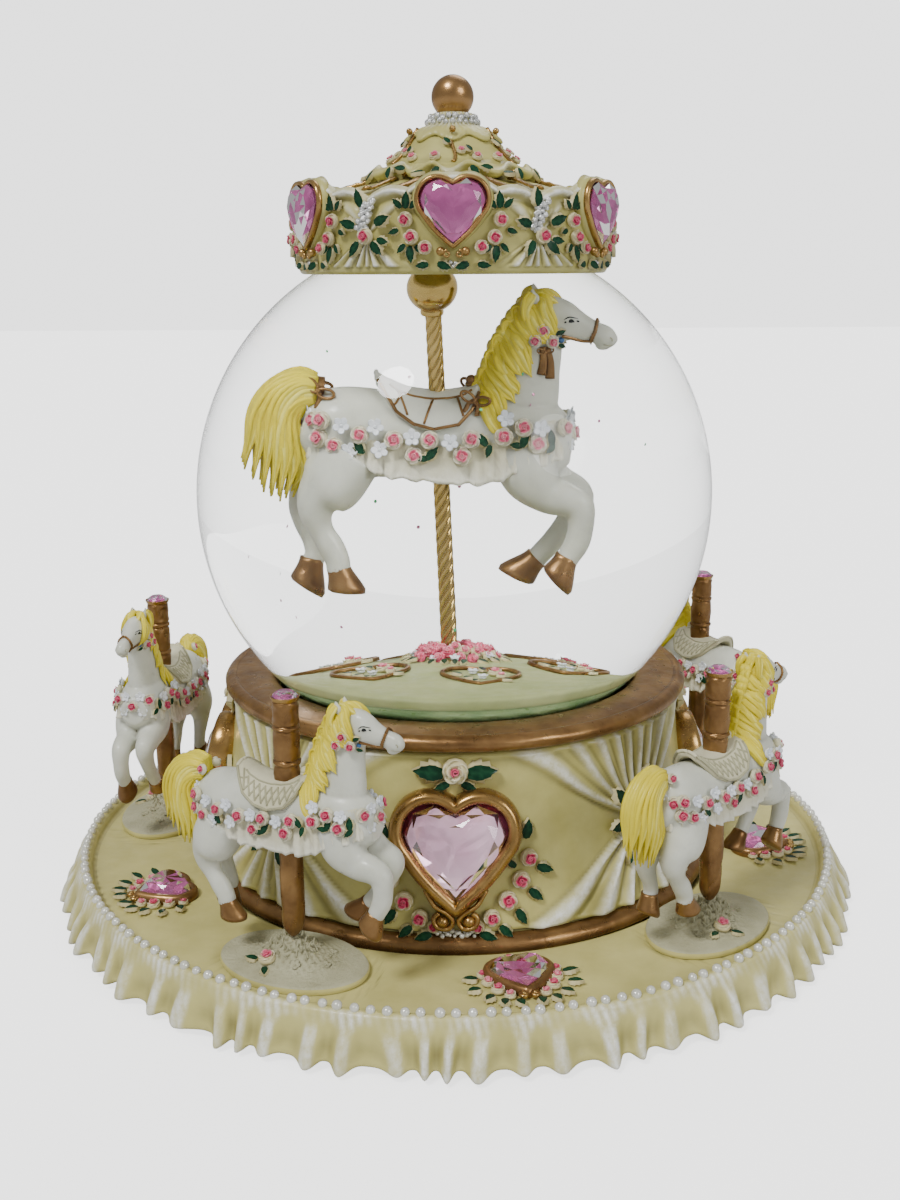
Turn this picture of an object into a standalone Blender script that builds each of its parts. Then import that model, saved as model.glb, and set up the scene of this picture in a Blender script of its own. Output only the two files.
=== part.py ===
"""Musical carousel snow globe: a wind-up movement in the drum turns a ring of horses round it.

Everything is in millimetres here and scaled to metres as the meshes are made.  The origin is at
the centre of the base, on the table.  +Z is up, and -Y is the front.  Angles round the drum are
measured from the front towards +X.
"""
import math

import bmesh
import bpy
from mathutils import Matrix, Vector

MM = 0.001
GAP = 0.3                     # air left between two pieces that touch
WELD = 0.01                   # points closer than this after a boolean are one point

# globe
GLOBE_R = 60.0
GLOBE_Z = 95.0
GLASS_THICKNESS = 2.5
NECK_R = 33.0                 # open bottom of the glass
STOPPER_BOTTOM = 45.2
STOPPER_TOP = 51.0
FLOOR_TOP = 65.5              # middle of the domed floor
FLOOR_EDGE_R = 40.4

# horse inside the globe, and its leaning pole
POLE_R = 1.45
POLE_FOOT = (-0.9, FLOOR_TOP + GAP)
POLE_TOP = (-3.6, 127.6)
BALL_R = 4.6
GLOBE_HORSE_SCALE = 0.772
GLOBE_HORSE_Z = 105.0

# drum, rim ring and base pan
DRUM_BOTTOM = 8.0
DRUM_TOP = 49.4
DRUM_FOOT_R = 62.0
DRUM_SLOPE = math.radians(13.0)
DRUM_GEM_Z = 29.5
DRUM_GEM_R = 57.6             # where the bezel's outer face crosses the gem's height
PAN_R = 59.0
PAN_FLOOR = 2.0
PAN_THICKNESS = 1.6
BOSS_CIRCLE_R = 42.0
FOOT_CIRCLE_R = 50.0
FOOT_R = 5.0
PLATE_POST_CIRCLE_R = 26.0
CUP_R = 15.0                  # finger recess round the key
CUP_TOP = 16.7

# rotating platform
DECK_Z = 9.5
DECK_INNER_R = 63.6
BEAD_R = 90.3
BEAD_TOP = 12.9
SKIRT_R = 96.4
SKIRT_BOTTOM = 1.2
RUFFLE_DEPTH = 0.8
PLATFORM_SEGMENTS = 72
WEB_R = 53.3
WEB_BOTTOM = 4.9
WEB_TOP = 7.3

# carousel horses on the platform
HORSE_COUNT = 5
FIRST_HORSE_ANGLE = -26.0
HORSE_CIRCLE_R = 75.0
SIDE_HORSE_SCALE = 0.66
SIDE_HORSE_Z = 43.0
POST_R = 2.65
POST_LOWER_R = 2.3
POST_TOP = 66.0
DISC_HALF_LENGTH = 16.4
DISC_HALF_WIDTH = 11.3
MOUND_TOP = 15.8

# crown
CROWN_BOTTOM = 145.9
CROWN_BAND_R = 34.8
CROWN_GEM_COUNT = 6
CROWN_GEM_Z = 158.0
CROWN_BEZEL_R = 36.0
FINIAL_R = 4.7
FINIAL_Z = 183.7

# gear train: ring gear, drive pinion, drive gear, great wheel, cylinder pinion, governor
RING_MODULE = 2.0
RING_TEETH = 48
PINION_TEETH = 12
DRIVE_X = 36.0                # ring pitch radius less pinion pitch radius
TRAIN_MODULE = 1.5
DRIVE_TEETH = 14
GREAT_TEETH = 34
CROWN_TEETH = 30
CYLINDER_PINION_TEETH = 8
GOVERNOR_PINION_TEETH = 8
GOVERNOR_MODULE = 1.0
GOVERNOR_TEETH = 24
GOVERNOR_Y = 31.5             # great wheel pitch radius plus governor pinion pitch radius
WORM_PITCH_R = 2.5
PLATE_BOTTOM = 17.0
PLATE_TOP = 18.6
PLATE_R = 47.6
GREAT_BOTTOM = 26.4
GREAT_TOP = 28.0
TRAIN_TOP = 30.0              # upper ends of the arbor and the drive shaft
ARBOR_BOTTOM = 8.6
SHAFT_BOTTOM = 3.9
CYLINDER_Z = 35.2
GOVERNOR_Z = 22.9
ARBOR_R = 2.0
SHAFT_R = 1.5
SPINDLE_R = 1.0
BARREL_R = 13.5

# winding key
KEY_HALF_WIDTH = 11.0
KEY_HALF_THICKNESS = 1.0
KEY_BOTTOM = 1.8
KEY_TOP = 9.4
KEY_CORNER_R = 2.4
KEY_HUB_R = 3.3
KEY_HUB_TOP = 14.0
KEY_BORE_BOTTOM = 8.3

# pinned cylinder and comb
CYLINDER_R = 6.2
CYLINDER_INNER_X = -29.0
CYLINDER_OUTER_X = -44.4
PIN_COUNT = 18
PIN_STEP = 0.8
PIN_R = 0.25
PIN_HEIGHT = 0.6
COMB_TEETH = 16
COMB_STEP = 0.88
COMB_TOOTH_WIDTH = 0.55
COMB_FRONT_Y = 15.6
COMB_BACK_Y = 19.6

# governor's bracket and air brake
BRACKET_HALF_WIDTH = 2.2
BRACKET_FRONT_Y = 24.8
BRACKET_BACK_Y = 38.6
BRACKET_END = 1.2             # thickness of its two ends
BRACKET_TOP = 26.0
BLADE_HALF_WIDTH = 3.5

MATERIALS = {
    # name: (colour, roughness, metallic)
    "cream_resin": ((0.60, 0.57, 0.33), 0.45, 0.0),
    "gold_paint": ((0.42, 0.22, 0.08), 0.35, 0.8),
    "bronze_resin": ((0.36, 0.19, 0.07), 0.45, 0.5),
    "clear_glass": ((0.95, 0.98, 0.97), 0.02, 0.0),
    "floor_resin": ((0.50, 0.55, 0.33), 0.5, 0.0),
    "white_resin": ((0.80, 0.78, 0.70), 0.4, 0.0),
    "polished_brass": ((0.72, 0.48, 0.15), 0.2, 1.0),
    "pink_gem": ((0.62, 0.25, 0.42), 0.05, 0.1),
    "black_rubber": ((0.03, 0.03, 0.03), 0.8, 0.0),
    "grey_plastic": ((0.25, 0.25, 0.26), 0.5, 0.0),
    "white_nylon": ((0.85, 0.84, 0.80), 0.45, 0.0),
    "steel": ((0.55, 0.55, 0.56), 0.3, 1.0),
    "brass": ((0.65, 0.47, 0.17), 0.3, 1.0),
}


def clear_scene():
    for obj in list(bpy.data.objects):
        bpy.data.objects.remove(obj, do_unlink=True)


def material(name):
    """The named material, made once."""
    if name in bpy.data.materials:
        return bpy.data.materials[name]
    colour, roughness, metallic = MATERIALS[name]
    mat = bpy.data.materials.new(name)
    mat.use_nodes = True
    shader = mat.node_tree.nodes["Principled BSDF"]
    shader.inputs["Base Color"].default_value = (*colour, 1.0)
    shader.inputs["Roughness"].default_value = roughness
    shader.inputs["Metallic"].default_value = metallic
    if name == "clear_glass":
        shader.inputs["Transmission Weight"].default_value = 1.0
    return mat


# ---------------------------------------------------------------- mesh helpers

def mesh_from(name, vertices, faces):
    """A mesh in metres from millimetre vertices, with its faces turned outwards."""
    mesh = bpy.data.meshes.new(name)
    mesh.from_pydata([Vector(v) * MM for v in vertices], [], faces)
    bm = bmesh.new()
    bm.from_mesh(mesh)
    bmesh.ops.recalc_face_normals(bm, faces=bm.faces)
    bm.to_mesh(mesh)
    bm.free()
    return mesh


def place(name, mesh, material_name, smooth_angle=None, parent=None):
    """Link a mesh as a named object with its own material."""
    if not mesh.materials:
        mesh.materials.append(material(material_name))
    if smooth_angle:
        mesh.shade_smooth()
        mesh.set_sharp_from_angle(angle=math.radians(smooth_angle))
    obj = bpy.data.objects.new(name, mesh)
    bpy.context.scene.collection.objects.link(obj)
    obj.parent = parent
    return obj


def turned(name, profile, segments, closed=True, ripple=None):
    """Revolve (radius, height) points about Z.  An open profile starts and ends on the axis.

    ripple(point_index, segment_index) gives a change of radius.
    """
    vertices = []
    rows = []
    for i, (radius, height) in enumerate(profile):
        if radius == 0:
            rows.append([len(vertices)] * segments)
            vertices.append((0, 0, height))
            continue
        row = []
        for k in range(segments):
            angle = 2 * math.pi * k / segments
            r = radius + (ripple(i, k) if ripple else 0)
            row.append(len(vertices))
            vertices.append((r * math.cos(angle), r * math.sin(angle), height))
        rows.append(row)
    faces = []
    last = len(rows) if closed else len(rows) - 1
    for i in range(last):
        a = rows[i]
        b = rows[(i + 1) % len(rows)]
        for k in range(segments):
            n = (k + 1) % segments
            corner = [a[k], a[n], b[n], b[k]]
            faces.append(list(dict.fromkeys(corner)))
    return mesh_from(name, vertices, faces)


def skinned(name, rings):
    """Join rings of points one after the other and cap both ends."""
    sides = len(rings[0])
    vertices = [point for ring in rings for point in ring]
    faces = [list(range(sides)), list(range(len(vertices) - sides, len(vertices)))]
    for i in range(len(rings) - 1):
        for k in range(sides):
            n = (k + 1) % sides
            a = i * sides
            b = a + sides
            faces.append([a + k, a + n, b + n, b + k])
    return mesh_from(name, vertices, faces)


def prism(name, outline, low, high):
    """Extrude an outline in XY from one height to another."""
    return skinned(name, [[(x, y, low) for x, y in outline], [(x, y, high) for x, y in outline]])


def box(name, low, high):
    outline = [(low[0], low[1]), (high[0], low[1]), (high[0], high[1]), (low[0], high[1])]
    return prism(name, outline, low[2], high[2])


def circle(radius, sides, phase=0.0):
    step = 2 * math.pi / sides
    return [(radius * math.cos(phase + k * step), radius * math.sin(phase + k * step)) for k in range(sides)]


def rod(name, start, end, radius, sides=12):
    """A straight round bar between two points."""
    return limb(name, [(*start, radius, radius), (*end, radius, radius)], sides)


def limb(name, stations, sides=6):
    """A tube through (x, y, z, radius in the XZ plane, radius across it) stations."""
    centres = [Vector(s[:3]) for s in stations]
    rings = []
    for i, station in enumerate(stations):
        before = centres[max(i - 1, 0)]
        after = centres[min(i + 1, len(centres) - 1)]
        along = (after - before).normalized()
        across = Vector((0, 1, 0)) - along * along.y
        if across.length < 0.1:
            across = Vector((1, 0, 0))
        across.normalize()
        upright = along.cross(across)
        ring = []
        for x, y in circle(1.0, sides, math.pi / sides):
            ring.append(centres[i] + upright * (x * station[3]) + across * (y * station[4]))
        rings.append(ring)
    return skinned(name, rings)


def move_mesh(mesh, matrix):
    mesh.transform(matrix)
    return mesh


def shift(x, y, z):
    return Matrix.Translation(Vector((x, y, z)) * MM)


def combine(base, tools, operation):
    """Boolean each tool mesh into the base mesh and return the new mesh."""
    body = bpy.data.objects.new("body", base)
    bpy.context.scene.collection.objects.link(body)
    helpers = []
    for tool in tools:
        helper = bpy.data.objects.new("tool", tool)
        bpy.context.scene.collection.objects.link(helper)
        helpers.append(helper)
        modifier = body.modifiers.new("cut", "BOOLEAN")
        modifier.operation = operation
        modifier.solver = "EXACT"
        modifier.object = helper
    graph = bpy.context.evaluated_depsgraph_get()
    result = bpy.data.meshes.new_from_object(body.evaluated_get(graph))
    for obj in [body, *helpers]:
        bpy.data.objects.remove(obj, do_unlink=True)
    bm = bmesh.new()
    bm.from_mesh(result)
    bmesh.ops.remove_doubles(bm, verts=bm.verts, dist=WELD * MM)
    bmesh.ops.dissolve_degenerate(bm, edges=bm.edges, dist=WELD * MM)
    bm.to_mesh(result)
    bm.free()
    return result


def united(base, *tools):
    return combine(base, tools, "UNION")


def drilled(base, *tools):
    return combine(base, tools, "DIFFERENCE")


def heart_outline(width, height, points=14):
    """A heart with its tip at -y, from the usual sum of cosines."""
    raw = []
    for k in range(points):
        t = 2 * math.pi * k / points
        x = 16 * math.sin(t) ** 3
        y = 13 * math.cos(t) - 5 * math.cos(2 * t) - 2 * math.cos(3 * t) - math.cos(4 * t)
        raw.append((x, y))
    low = min(y for x, y in raw)
    high = max(y for x, y in raw)
    middle = (low + high) / 2
    return [(x / 32 * width, (y - middle) / (high - low) * height) for x, y in raw]


def heart_plate(name, width, height, layers):
    """A heart built up in z from (scale, height) layers."""
    outline = heart_outline(width, height)
    return skinned(name, [[(x * s, y * s, z) for x, y in outline] for s, z in layers])


def facing_out(radius, height, angle, lean=0.0):
    """The transform from a plate lying in XY to one standing against a wall, facing outwards."""
    upright = Matrix.Rotation(math.radians(90), 4, "X")
    tilt = Matrix.Rotation(-lean, 4, "X")
    return Matrix.Rotation(math.radians(angle), 4, "Z") @ shift(0, -radius, height) @ tilt @ upright


# ---------------------------------------------------------------- gears

def gear_outline(module, teeth, phase=0.0, internal=False):
    """Straight-flanked teeth, thin enough to leave backlash.  A tooth is centred on the phase."""
    pitch_r = module * teeth / 2
    addendum = 0.8 * module
    dedendum = 1.1 * module
    if internal:
        addendum, dedendum = -addendum, -dedendum
    step = 2 * math.pi / teeth
    half_root = 0.27 * step
    half_tip = 0.11 * step
    outline = []
    for k in range(teeth):
        centre = phase + k * step
        corners = [
            (pitch_r - dedendum, centre - half_root),
            (pitch_r + addendum, centre - half_tip),
            (pitch_r + addendum, centre + half_tip),
            (pitch_r - dedendum, centre + half_root),
        ]
        outline += [(r * math.cos(a), r * math.sin(a)) for r, a in corners]
    return outline


def ring_gear(parent):
    """Internal ring gear glued under the platform's web."""
    low, high = WEB_BOTTOM, WEB_TOP + GAP
    disc = prism("disc", circle(WEB_R - GAP, 48), low, high)
    teeth = prism("teeth", gear_outline(RING_MODULE, RING_TEETH, internal=True), low - 1, high + 1)
    place("ring_gear", drilled(disc, teeth), "white_nylon", parent=parent)


def great_wheel(parent):
    """Great wheel on the winding arbor: spur teeth at its rim and crown teeth on its top."""
    wheel = prism("great", gear_outline(TRAIN_MODULE, GREAT_TEETH), GREAT_BOTTOM, GREAT_TOP)
    pitch_r = TRAIN_MODULE * CROWN_TEETH / 2
    low = GREAT_TOP - 0.4
    high = GREAT_TOP + 2.4
    teeth = []
    for k in range(CROWN_TEETH):
        rings = []
        for half, z in ((1.1, low), (0.4, high)):
            corners = [(-1, -half), (1, -half), (1, half), (-1, half)]
            rings.append([(pitch_r + x, y, z) for x, y in corners])
        blade = skinned("tooth", rings)
        teeth.append(move_mesh(blade, Matrix.Rotation(2 * math.pi * k / CROWN_TEETH, 4, "Z")))
    arbor = rod("arbor", (0, 0, ARBOR_BOTTOM), (0, 0, TRAIN_TOP), ARBOR_R)
    place("great_wheel", united(wheel, arbor, *teeth), "brass", parent=parent)


def winding_key(parent):
    """Wing key pushed on the bottom end of the arbor."""
    outline = []
    middle = (KEY_BOTTOM + KEY_TOP) / 2
    half_height = (KEY_TOP - KEY_BOTTOM) / 2
    for cx, cz, start in ((1, 1, 0), (-1, 1, 90), (-1, -1, 180), (1, -1, 270)):
        for step in (0, 45, 90):
            a = math.radians(start + step)
            x = cx * (KEY_HALF_WIDTH - KEY_CORNER_R) + KEY_CORNER_R * math.cos(a)
            z = middle + cz * (half_height - KEY_CORNER_R) + KEY_CORNER_R * math.sin(a)
            outline.append((x, z))
    sides = (KEY_HALF_THICKNESS, -KEY_HALF_THICKNESS)
    wing = skinned("wing", [[(x, y, z) for x, z in outline] for y in sides])
    hub = rod("hub", (0, 0, middle), (0, 0, KEY_HUB_TOP), KEY_HUB_R, 16)
    bore = rod("bore", (0, 0, KEY_BORE_BOTTOM), (0, 0, KEY_HUB_TOP + 1), ARBOR_R + GAP)
    key = drilled(united(wing, hub), bore)
    place("winding_key", key, "steel", parent=parent)


def drive_shaft(parent):
    """Shaft that carries the platform's drive pinion below and the drive gear above."""
    pinion = prism("pinion", gear_outline(RING_MODULE, PINION_TEETH, math.pi / PINION_TEETH),
                   WEB_BOTTOM, WEB_TOP + GAP)
    gear = prism("gear", gear_outline(TRAIN_MODULE, DRIVE_TEETH, math.pi / DRIVE_TEETH),
                 GREAT_BOTTOM, GREAT_TOP)
    shaft = rod("shaft", (0, 0, SHAFT_BOTTOM), (0, 0, TRAIN_TOP), SHAFT_R)
    place("drive_shaft", united(pinion, shaft, gear), "brass", parent=parent)


def music_cylinder(parent):
    """Pinned cylinder with its pinion, turning about X."""
    phase = math.pi / CYLINDER_PINION_TEETH
    outline = gear_outline(TRAIN_MODULE, CYLINDER_PINION_TEETH, phase)
    pinion = skinned("pinion", [[(-21.4, y, z) for y, z in outline], [(-23.6, y, z) for y, z in outline]])
    body = rod("body", (CYLINDER_INNER_X, 0, 0), (CYLINDER_OUTER_X, 0, 0), CYLINDER_R, 24)
    shaft = rod("shaft", (-20.4, 0, 0), (CYLINDER_OUTER_X - 2.2, 0, 0), SPINDLE_R, 8)
    pins = []
    for k in range(PIN_COUNT):
        x = CYLINDER_INNER_X - 1.0 - PIN_STEP * k
        angle = 2.4 * k           # radians, so that the pins go round in a spiral
        radial = Vector((0, math.cos(angle), math.sin(angle)))
        start = Vector((x, 0, 0)) + radial * (CYLINDER_R - PIN_HEIGHT)
        end = Vector((x, 0, 0)) + radial * (CYLINDER_R + PIN_HEIGHT)
        pins.append(rod("pin", start, end, PIN_R, 4))
    place("music_cylinder", united(body, shaft, pinion, *pins), "brass", parent=parent)


def governor_wheel(parent):
    pinion = prism("pinion", gear_outline(TRAIN_MODULE, GOVERNOR_PINION_TEETH), GREAT_BOTTOM, GREAT_TOP)
    wheel = prism("wheel", gear_outline(GOVERNOR_MODULE, GOVERNOR_TEETH), GOVERNOR_Z - 0.6, GOVERNOR_Z + 0.6)
    shaft = rod("shaft", (0, 0, PLATE_BOTTOM + 0.4), (0, 0, TRAIN_TOP - 0.6), SPINDLE_R, 10)
    place("governor_wheel", united(wheel, shaft, pinion), "brass", parent=parent)


def governor_worm(parent):
    """Single-start worm with the air brake's two blades on its outer end, turning about Y."""
    lead = math.pi * GOVERNOR_MODULE
    outer_r = WORM_PITCH_R + 0.8 * GOVERNOR_MODULE
    core_r = WORM_PITCH_R - 1.1 * GOVERNOR_MODULE
    steps_per_turn = 12
    turns = 2.0
    rings = []
    for k in range(int(turns * steps_per_turn) + 1):
        turn = k / steps_per_turn - turns / 2
        # the thread's middle faces +X, so a gap faces the wheel, which is on the -X side
        angle = 2 * math.pi * turn
        out = Vector((math.cos(angle), 0, -math.sin(angle)))
        middle = Vector((0, lead * turn, 0))
        ring = []
        for r, half in ((core_r - 0.4, -1.0), (outer_r, -0.3), (outer_r, 0.3), (core_r - 0.4, 1.0)):
            ring.append(middle + out * r + Vector((0, half, 0)))
        rings.append(ring)
    thread = skinned("thread", rings)
    spindle = rod("spindle", (0, -7.4, 0), (0, 13.2, 0), 0.7, 8)
    core = rod("core", (0, -5.0, 0), (0, 5.0, 0), core_r, 14)
    blades = box("blades", (-BLADE_HALF_WIDTH, 8.6, -0.35), (BLADE_HALF_WIDTH, 12.4, 0.35))
    place("governor_worm", united(core, thread, spindle, blades), "steel", parent=parent)


# ---------------------------------------------------------------- fixed base

def base_pan():
    """Bottom pan: floor, key recess, bosses for the drum, posts for the movement plate and feet."""
    floor_top = PAN_FLOOR + PAN_THICKNESS
    wall_r = CUP_R + 1.8
    hole_r = ARBOR_R + 0.5
    ceiling = CUP_TOP - 1.5
    profile = [
        (CUP_R, PAN_FLOOR), (PAN_R, PAN_FLOOR), (PAN_R, floor_top), (wall_r, floor_top),
        (wall_r, CUP_TOP), (hole_r, CUP_TOP), (hole_r, ceiling), (CUP_R, ceiling),
    ]
    pan = turned("pan", profile, 32)
    extras = []
    for angle in (45, 135, 225, 315):
        a = math.radians(angle)
        x, y = math.cos(a), math.sin(a)
        boss = (BOSS_CIRCLE_R * x, BOSS_CIRCLE_R * y)
        foot = (FOOT_CIRCLE_R * x, FOOT_CIRCLE_R * y)
        extras.append(rod("boss", (*boss, floor_top - 0.5), (*boss, DRUM_BOTTOM - GAP), 3.0, 12))
        extras.append(rod("foot", (*foot, 0), (*foot, PAN_FLOOR + 0.5), FOOT_R, 16))
    for angle in (90, 180, 270):
        a = math.radians(angle)
        x, y = PLATE_POST_CIRCLE_R * math.cos(a), PLATE_POST_CIRCLE_R * math.sin(a)
        extras.append(rod("post", (x, y, floor_top - 0.5), (x, y, PLATE_BOTTOM - GAP), 2.6, 12))
    place("base_pan", united(pan, *extras), "grey_plastic")


def glide_ring():
    """Slippery ring on the pan that carries the platform's web."""
    low = PAN_FLOOR + PAN_THICKNESS + GAP
    high = WEB_BOTTOM - GAP
    profile = [(54.2, low), (57.4, low), (57.4, high), (54.2, high)]
    place("glide_ring", turned("glide", profile, 32), "white_nylon", 40)


def drum():
    """Hollow drum that tapers up from its foot moulding, with four heart bezels."""
    profile = [
        (38.6, DRUM_BOTTOM), (DRUM_FOOT_R, DRUM_BOTTOM), (DRUM_FOOT_R, 10.0), (59.6, 12.2), (58.0, 16.0),
        (54.6, 30.0), (51.8, DRUM_TOP), (42.4, DRUM_TOP), (42.4, 46.6), (48.2, 45.0), (52.4, 16.0),
        (52.4, 10.6), (38.6, 10.6),
    ]
    shell = turned("shell", profile, 40)
    bezels = []
    for k in range(4):
        plate = heart_plate("bezel", 29.0, 26.5, ((0.9, -5.0), (1.0, -0.8), (0.94, 0.0)))
        bezels.append(move_mesh(plate, facing_out(DRUM_GEM_R, DRUM_GEM_Z, 90 * k, DRUM_SLOPE)))
    place("drum", united(shell, *bezels), "cream_resin", 30)


def wall_gem(width, height, base, top):
    """Cut heart: a low girdle under sloping facets and a flat table."""
    middle = base + 0.35 * (top - base)
    return heart_plate("gem", width, height, ((0.97, base), (1.0, middle), (0.66, top)))


def drum_gems():
    for k in range(4):
        mesh = wall_gem(22.0, 21.0, GAP, 4.2)
        move_mesh(mesh, facing_out(DRUM_GEM_R, DRUM_GEM_Z, 90 * k, DRUM_SLOPE))
        place(f"drum_gem_{k + 1}", mesh, "pink_gem")


def rim_ring():
    """Bronze ring that holds the globe down on the drum."""
    low = DRUM_TOP + GAP
    profile = [
        (42.7, low), (52.4, low), (54.5, 50.6), (55.3, 51.8), (54.9, 53.0), (53.4, 53.7), (49.8, 53.9),
        (46.4, 53.6), (44.4, 53.2), (43.3, 52.2),
    ]
    place("rim_ring", turned("rim", profile, 40), "bronze_resin", 30)


def music_works():
    """Movement plate with the cylinder's bearings, the spring barrel, the comb and the governor's frame."""
    plate = prism("plate", circle(PLATE_R, 40), PLATE_BOTTOM, PLATE_TOP)
    lugs = []
    for x_low in (-28.4, -46.0):
        depth = 3.2 if x_low < -40 else 4.2
        lugs.append(box("lug", (x_low, -depth, PLATE_TOP - 0.5), (x_low + 1.2, depth, CYLINDER_Z + 3.0)))
    plate = united(plate, *lugs)
    holes = [
        rod("hole", (x, y, PLATE_BOTTOM - 1), (x, y, PLATE_TOP + 1), radius)
        for x, y, radius in (
            (0, 0, ARBOR_R + 0.5), (DRIVE_X, 0, SHAFT_R + 0.4), (0, GOVERNOR_Y, SPINDLE_R + 0.4),
        )
    ]
    holes.append(rod("hole", (-50, 0, CYLINDER_Z), (-25, 0, CYLINDER_Z), SPINDLE_R + 0.3))
    place("movement_plate", drilled(plate, *holes), "steel")

    low, high = PLATE_TOP + GAP, GREAT_BOTTOM - 0.4
    barrel = [(ARBOR_R + 0.5, low), (BARREL_R, low), (BARREL_R, high), (ARBOR_R + 0.5, high)]
    place("spring_barrel", turned("barrel", barrel, 24), "brass", 40)

    # comb: a block on the plate, and teeth that reach towards the cylinder
    block = box("block", (CYLINDER_OUTER_X + 0.4, COMB_FRONT_Y, PLATE_TOP + GAP),
                (CYLINDER_INNER_X - 0.4, COMB_BACK_Y, CYLINDER_Z + 0.5))
    corner = prism("corner", circle(PLATE_R - 1.2, 40), PLATE_TOP, CYLINDER_Z + 1)
    block = combine(block, [corner], "INTERSECT")
    teeth = []
    reach = CYLINDER_R + 1.0
    for k in range(COMB_TEETH):
        x = CYLINDER_OUTER_X + 1.0 + COMB_STEP * k
        teeth.append(box("tooth", (x, reach, CYLINDER_Z - 0.4),
                         (x + COMB_TOOTH_WIDTH, COMB_FRONT_Y + 1.4, CYLINDER_Z + 0.4)))
    place("comb", united(block, *teeth), "steel")


def governor_bracket():
    """Frame on the movement plate with two holes for the worm's spindle."""
    x = GOVERNOR_TEETH * GOVERNOR_MODULE / 2 + WORM_PITCH_R
    low = PLATE_TOP + GAP
    left, right = x - BRACKET_HALF_WIDTH, x + BRACKET_HALF_WIDTH
    strip = box("strip", (left, BRACKET_FRONT_Y, low), (right, BRACKET_BACK_Y, low + 0.4))
    ends = []
    for y in (BRACKET_FRONT_Y, BRACKET_BACK_Y - BRACKET_END):
        ends.append(box("end", (left, y, low), (right, y + BRACKET_END, BRACKET_TOP)))
    bracket = united(strip, *ends)
    bore = rod("bore", (x, 20, GOVERNOR_Z), (x, 45, GOVERNOR_Z), 1.0, 10)
    place("governor_bracket", drilled(bracket, bore), "steel")


# ---------------------------------------------------------------- globe

def globe_glass():
    """Thin glass ball, open at its neck."""
    inner_r = GLOBE_R - GLASS_THICKNESS
    steps = 10
    outer_end = math.asin(NECK_R / GLOBE_R)
    inner_end = math.asin(NECK_R / inner_r)
    profile = []
    for k in range(steps):
        a = k / (steps - 1) * (math.pi - outer_end)
        profile.append((GLOBE_R * math.sin(a) if k else 0, GLOBE_Z + GLOBE_R * math.cos(a)))
    for k in range(steps - 1, -1, -1):
        a = k / (steps - 1) * (math.pi - inner_end)
        profile.append((inner_r * math.sin(a) if k else 0, GLOBE_Z + inner_r * math.cos(a)))
    place("globe_glass", turned("glass", profile, 28, closed=False), "clear_glass", 60)


def globe_stopper():
    profile = [(0, STOPPER_BOTTOM), (NECK_R - 0.4, STOPPER_BOTTOM), (NECK_R - 0.4, 48.6), (35.0, STOPPER_TOP),
               (0, STOPPER_TOP)]
    place("globe_stopper", turned("stopper", profile, 24, closed=False), "black_rubber", 30)


def globe_floor():
    """Domed floor that the pole stands on."""
    low = STOPPER_TOP + GAP
    profile = [
        (0, low), (36.4, low), (38.2, 53.2), (FLOOR_EDGE_R - 0.8, 55.4), (FLOOR_EDGE_R, 58.6),
        (FLOOR_EDGE_R - 0.8, 59.6), (28.0, 62.2), (14.0, 64.6), (5.0, FLOOR_TOP), (0, FLOOR_TOP),
    ]
    place("globe_floor", turned("floor", profile, 28, closed=False), "floor_resin", 30)


def globe_pole():
    """Leaning pole, which passes through the horse, and the ball on its top."""
    start = (POLE_FOOT[0], 0, POLE_FOOT[1] + 0.2)
    end = (POLE_TOP[0], 0, POLE_TOP[1])
    place("horse_pole", rod("pole", start, end, POLE_R, 16), "polished_brass", 40)
    lean = Vector(end) - Vector(start)
    centre = Vector(end) + lean.normalized() * (BALL_R + GAP)
    mesh = turned("ball", ball_profile(BALL_R, 8), 14, closed=False)
    place("pole_ball", move_mesh(mesh, shift(*centre)), "polished_brass", 60)


def ball_profile(radius, steps):
    points = []
    for k in range(steps):
        a = math.pi * k / (steps - 1)
        inside = 0 < k < steps - 1
        points.append((radius * math.sin(a) if inside else 0, radius * math.cos(a)))
    return points


# ---------------------------------------------------------------- horses

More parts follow.
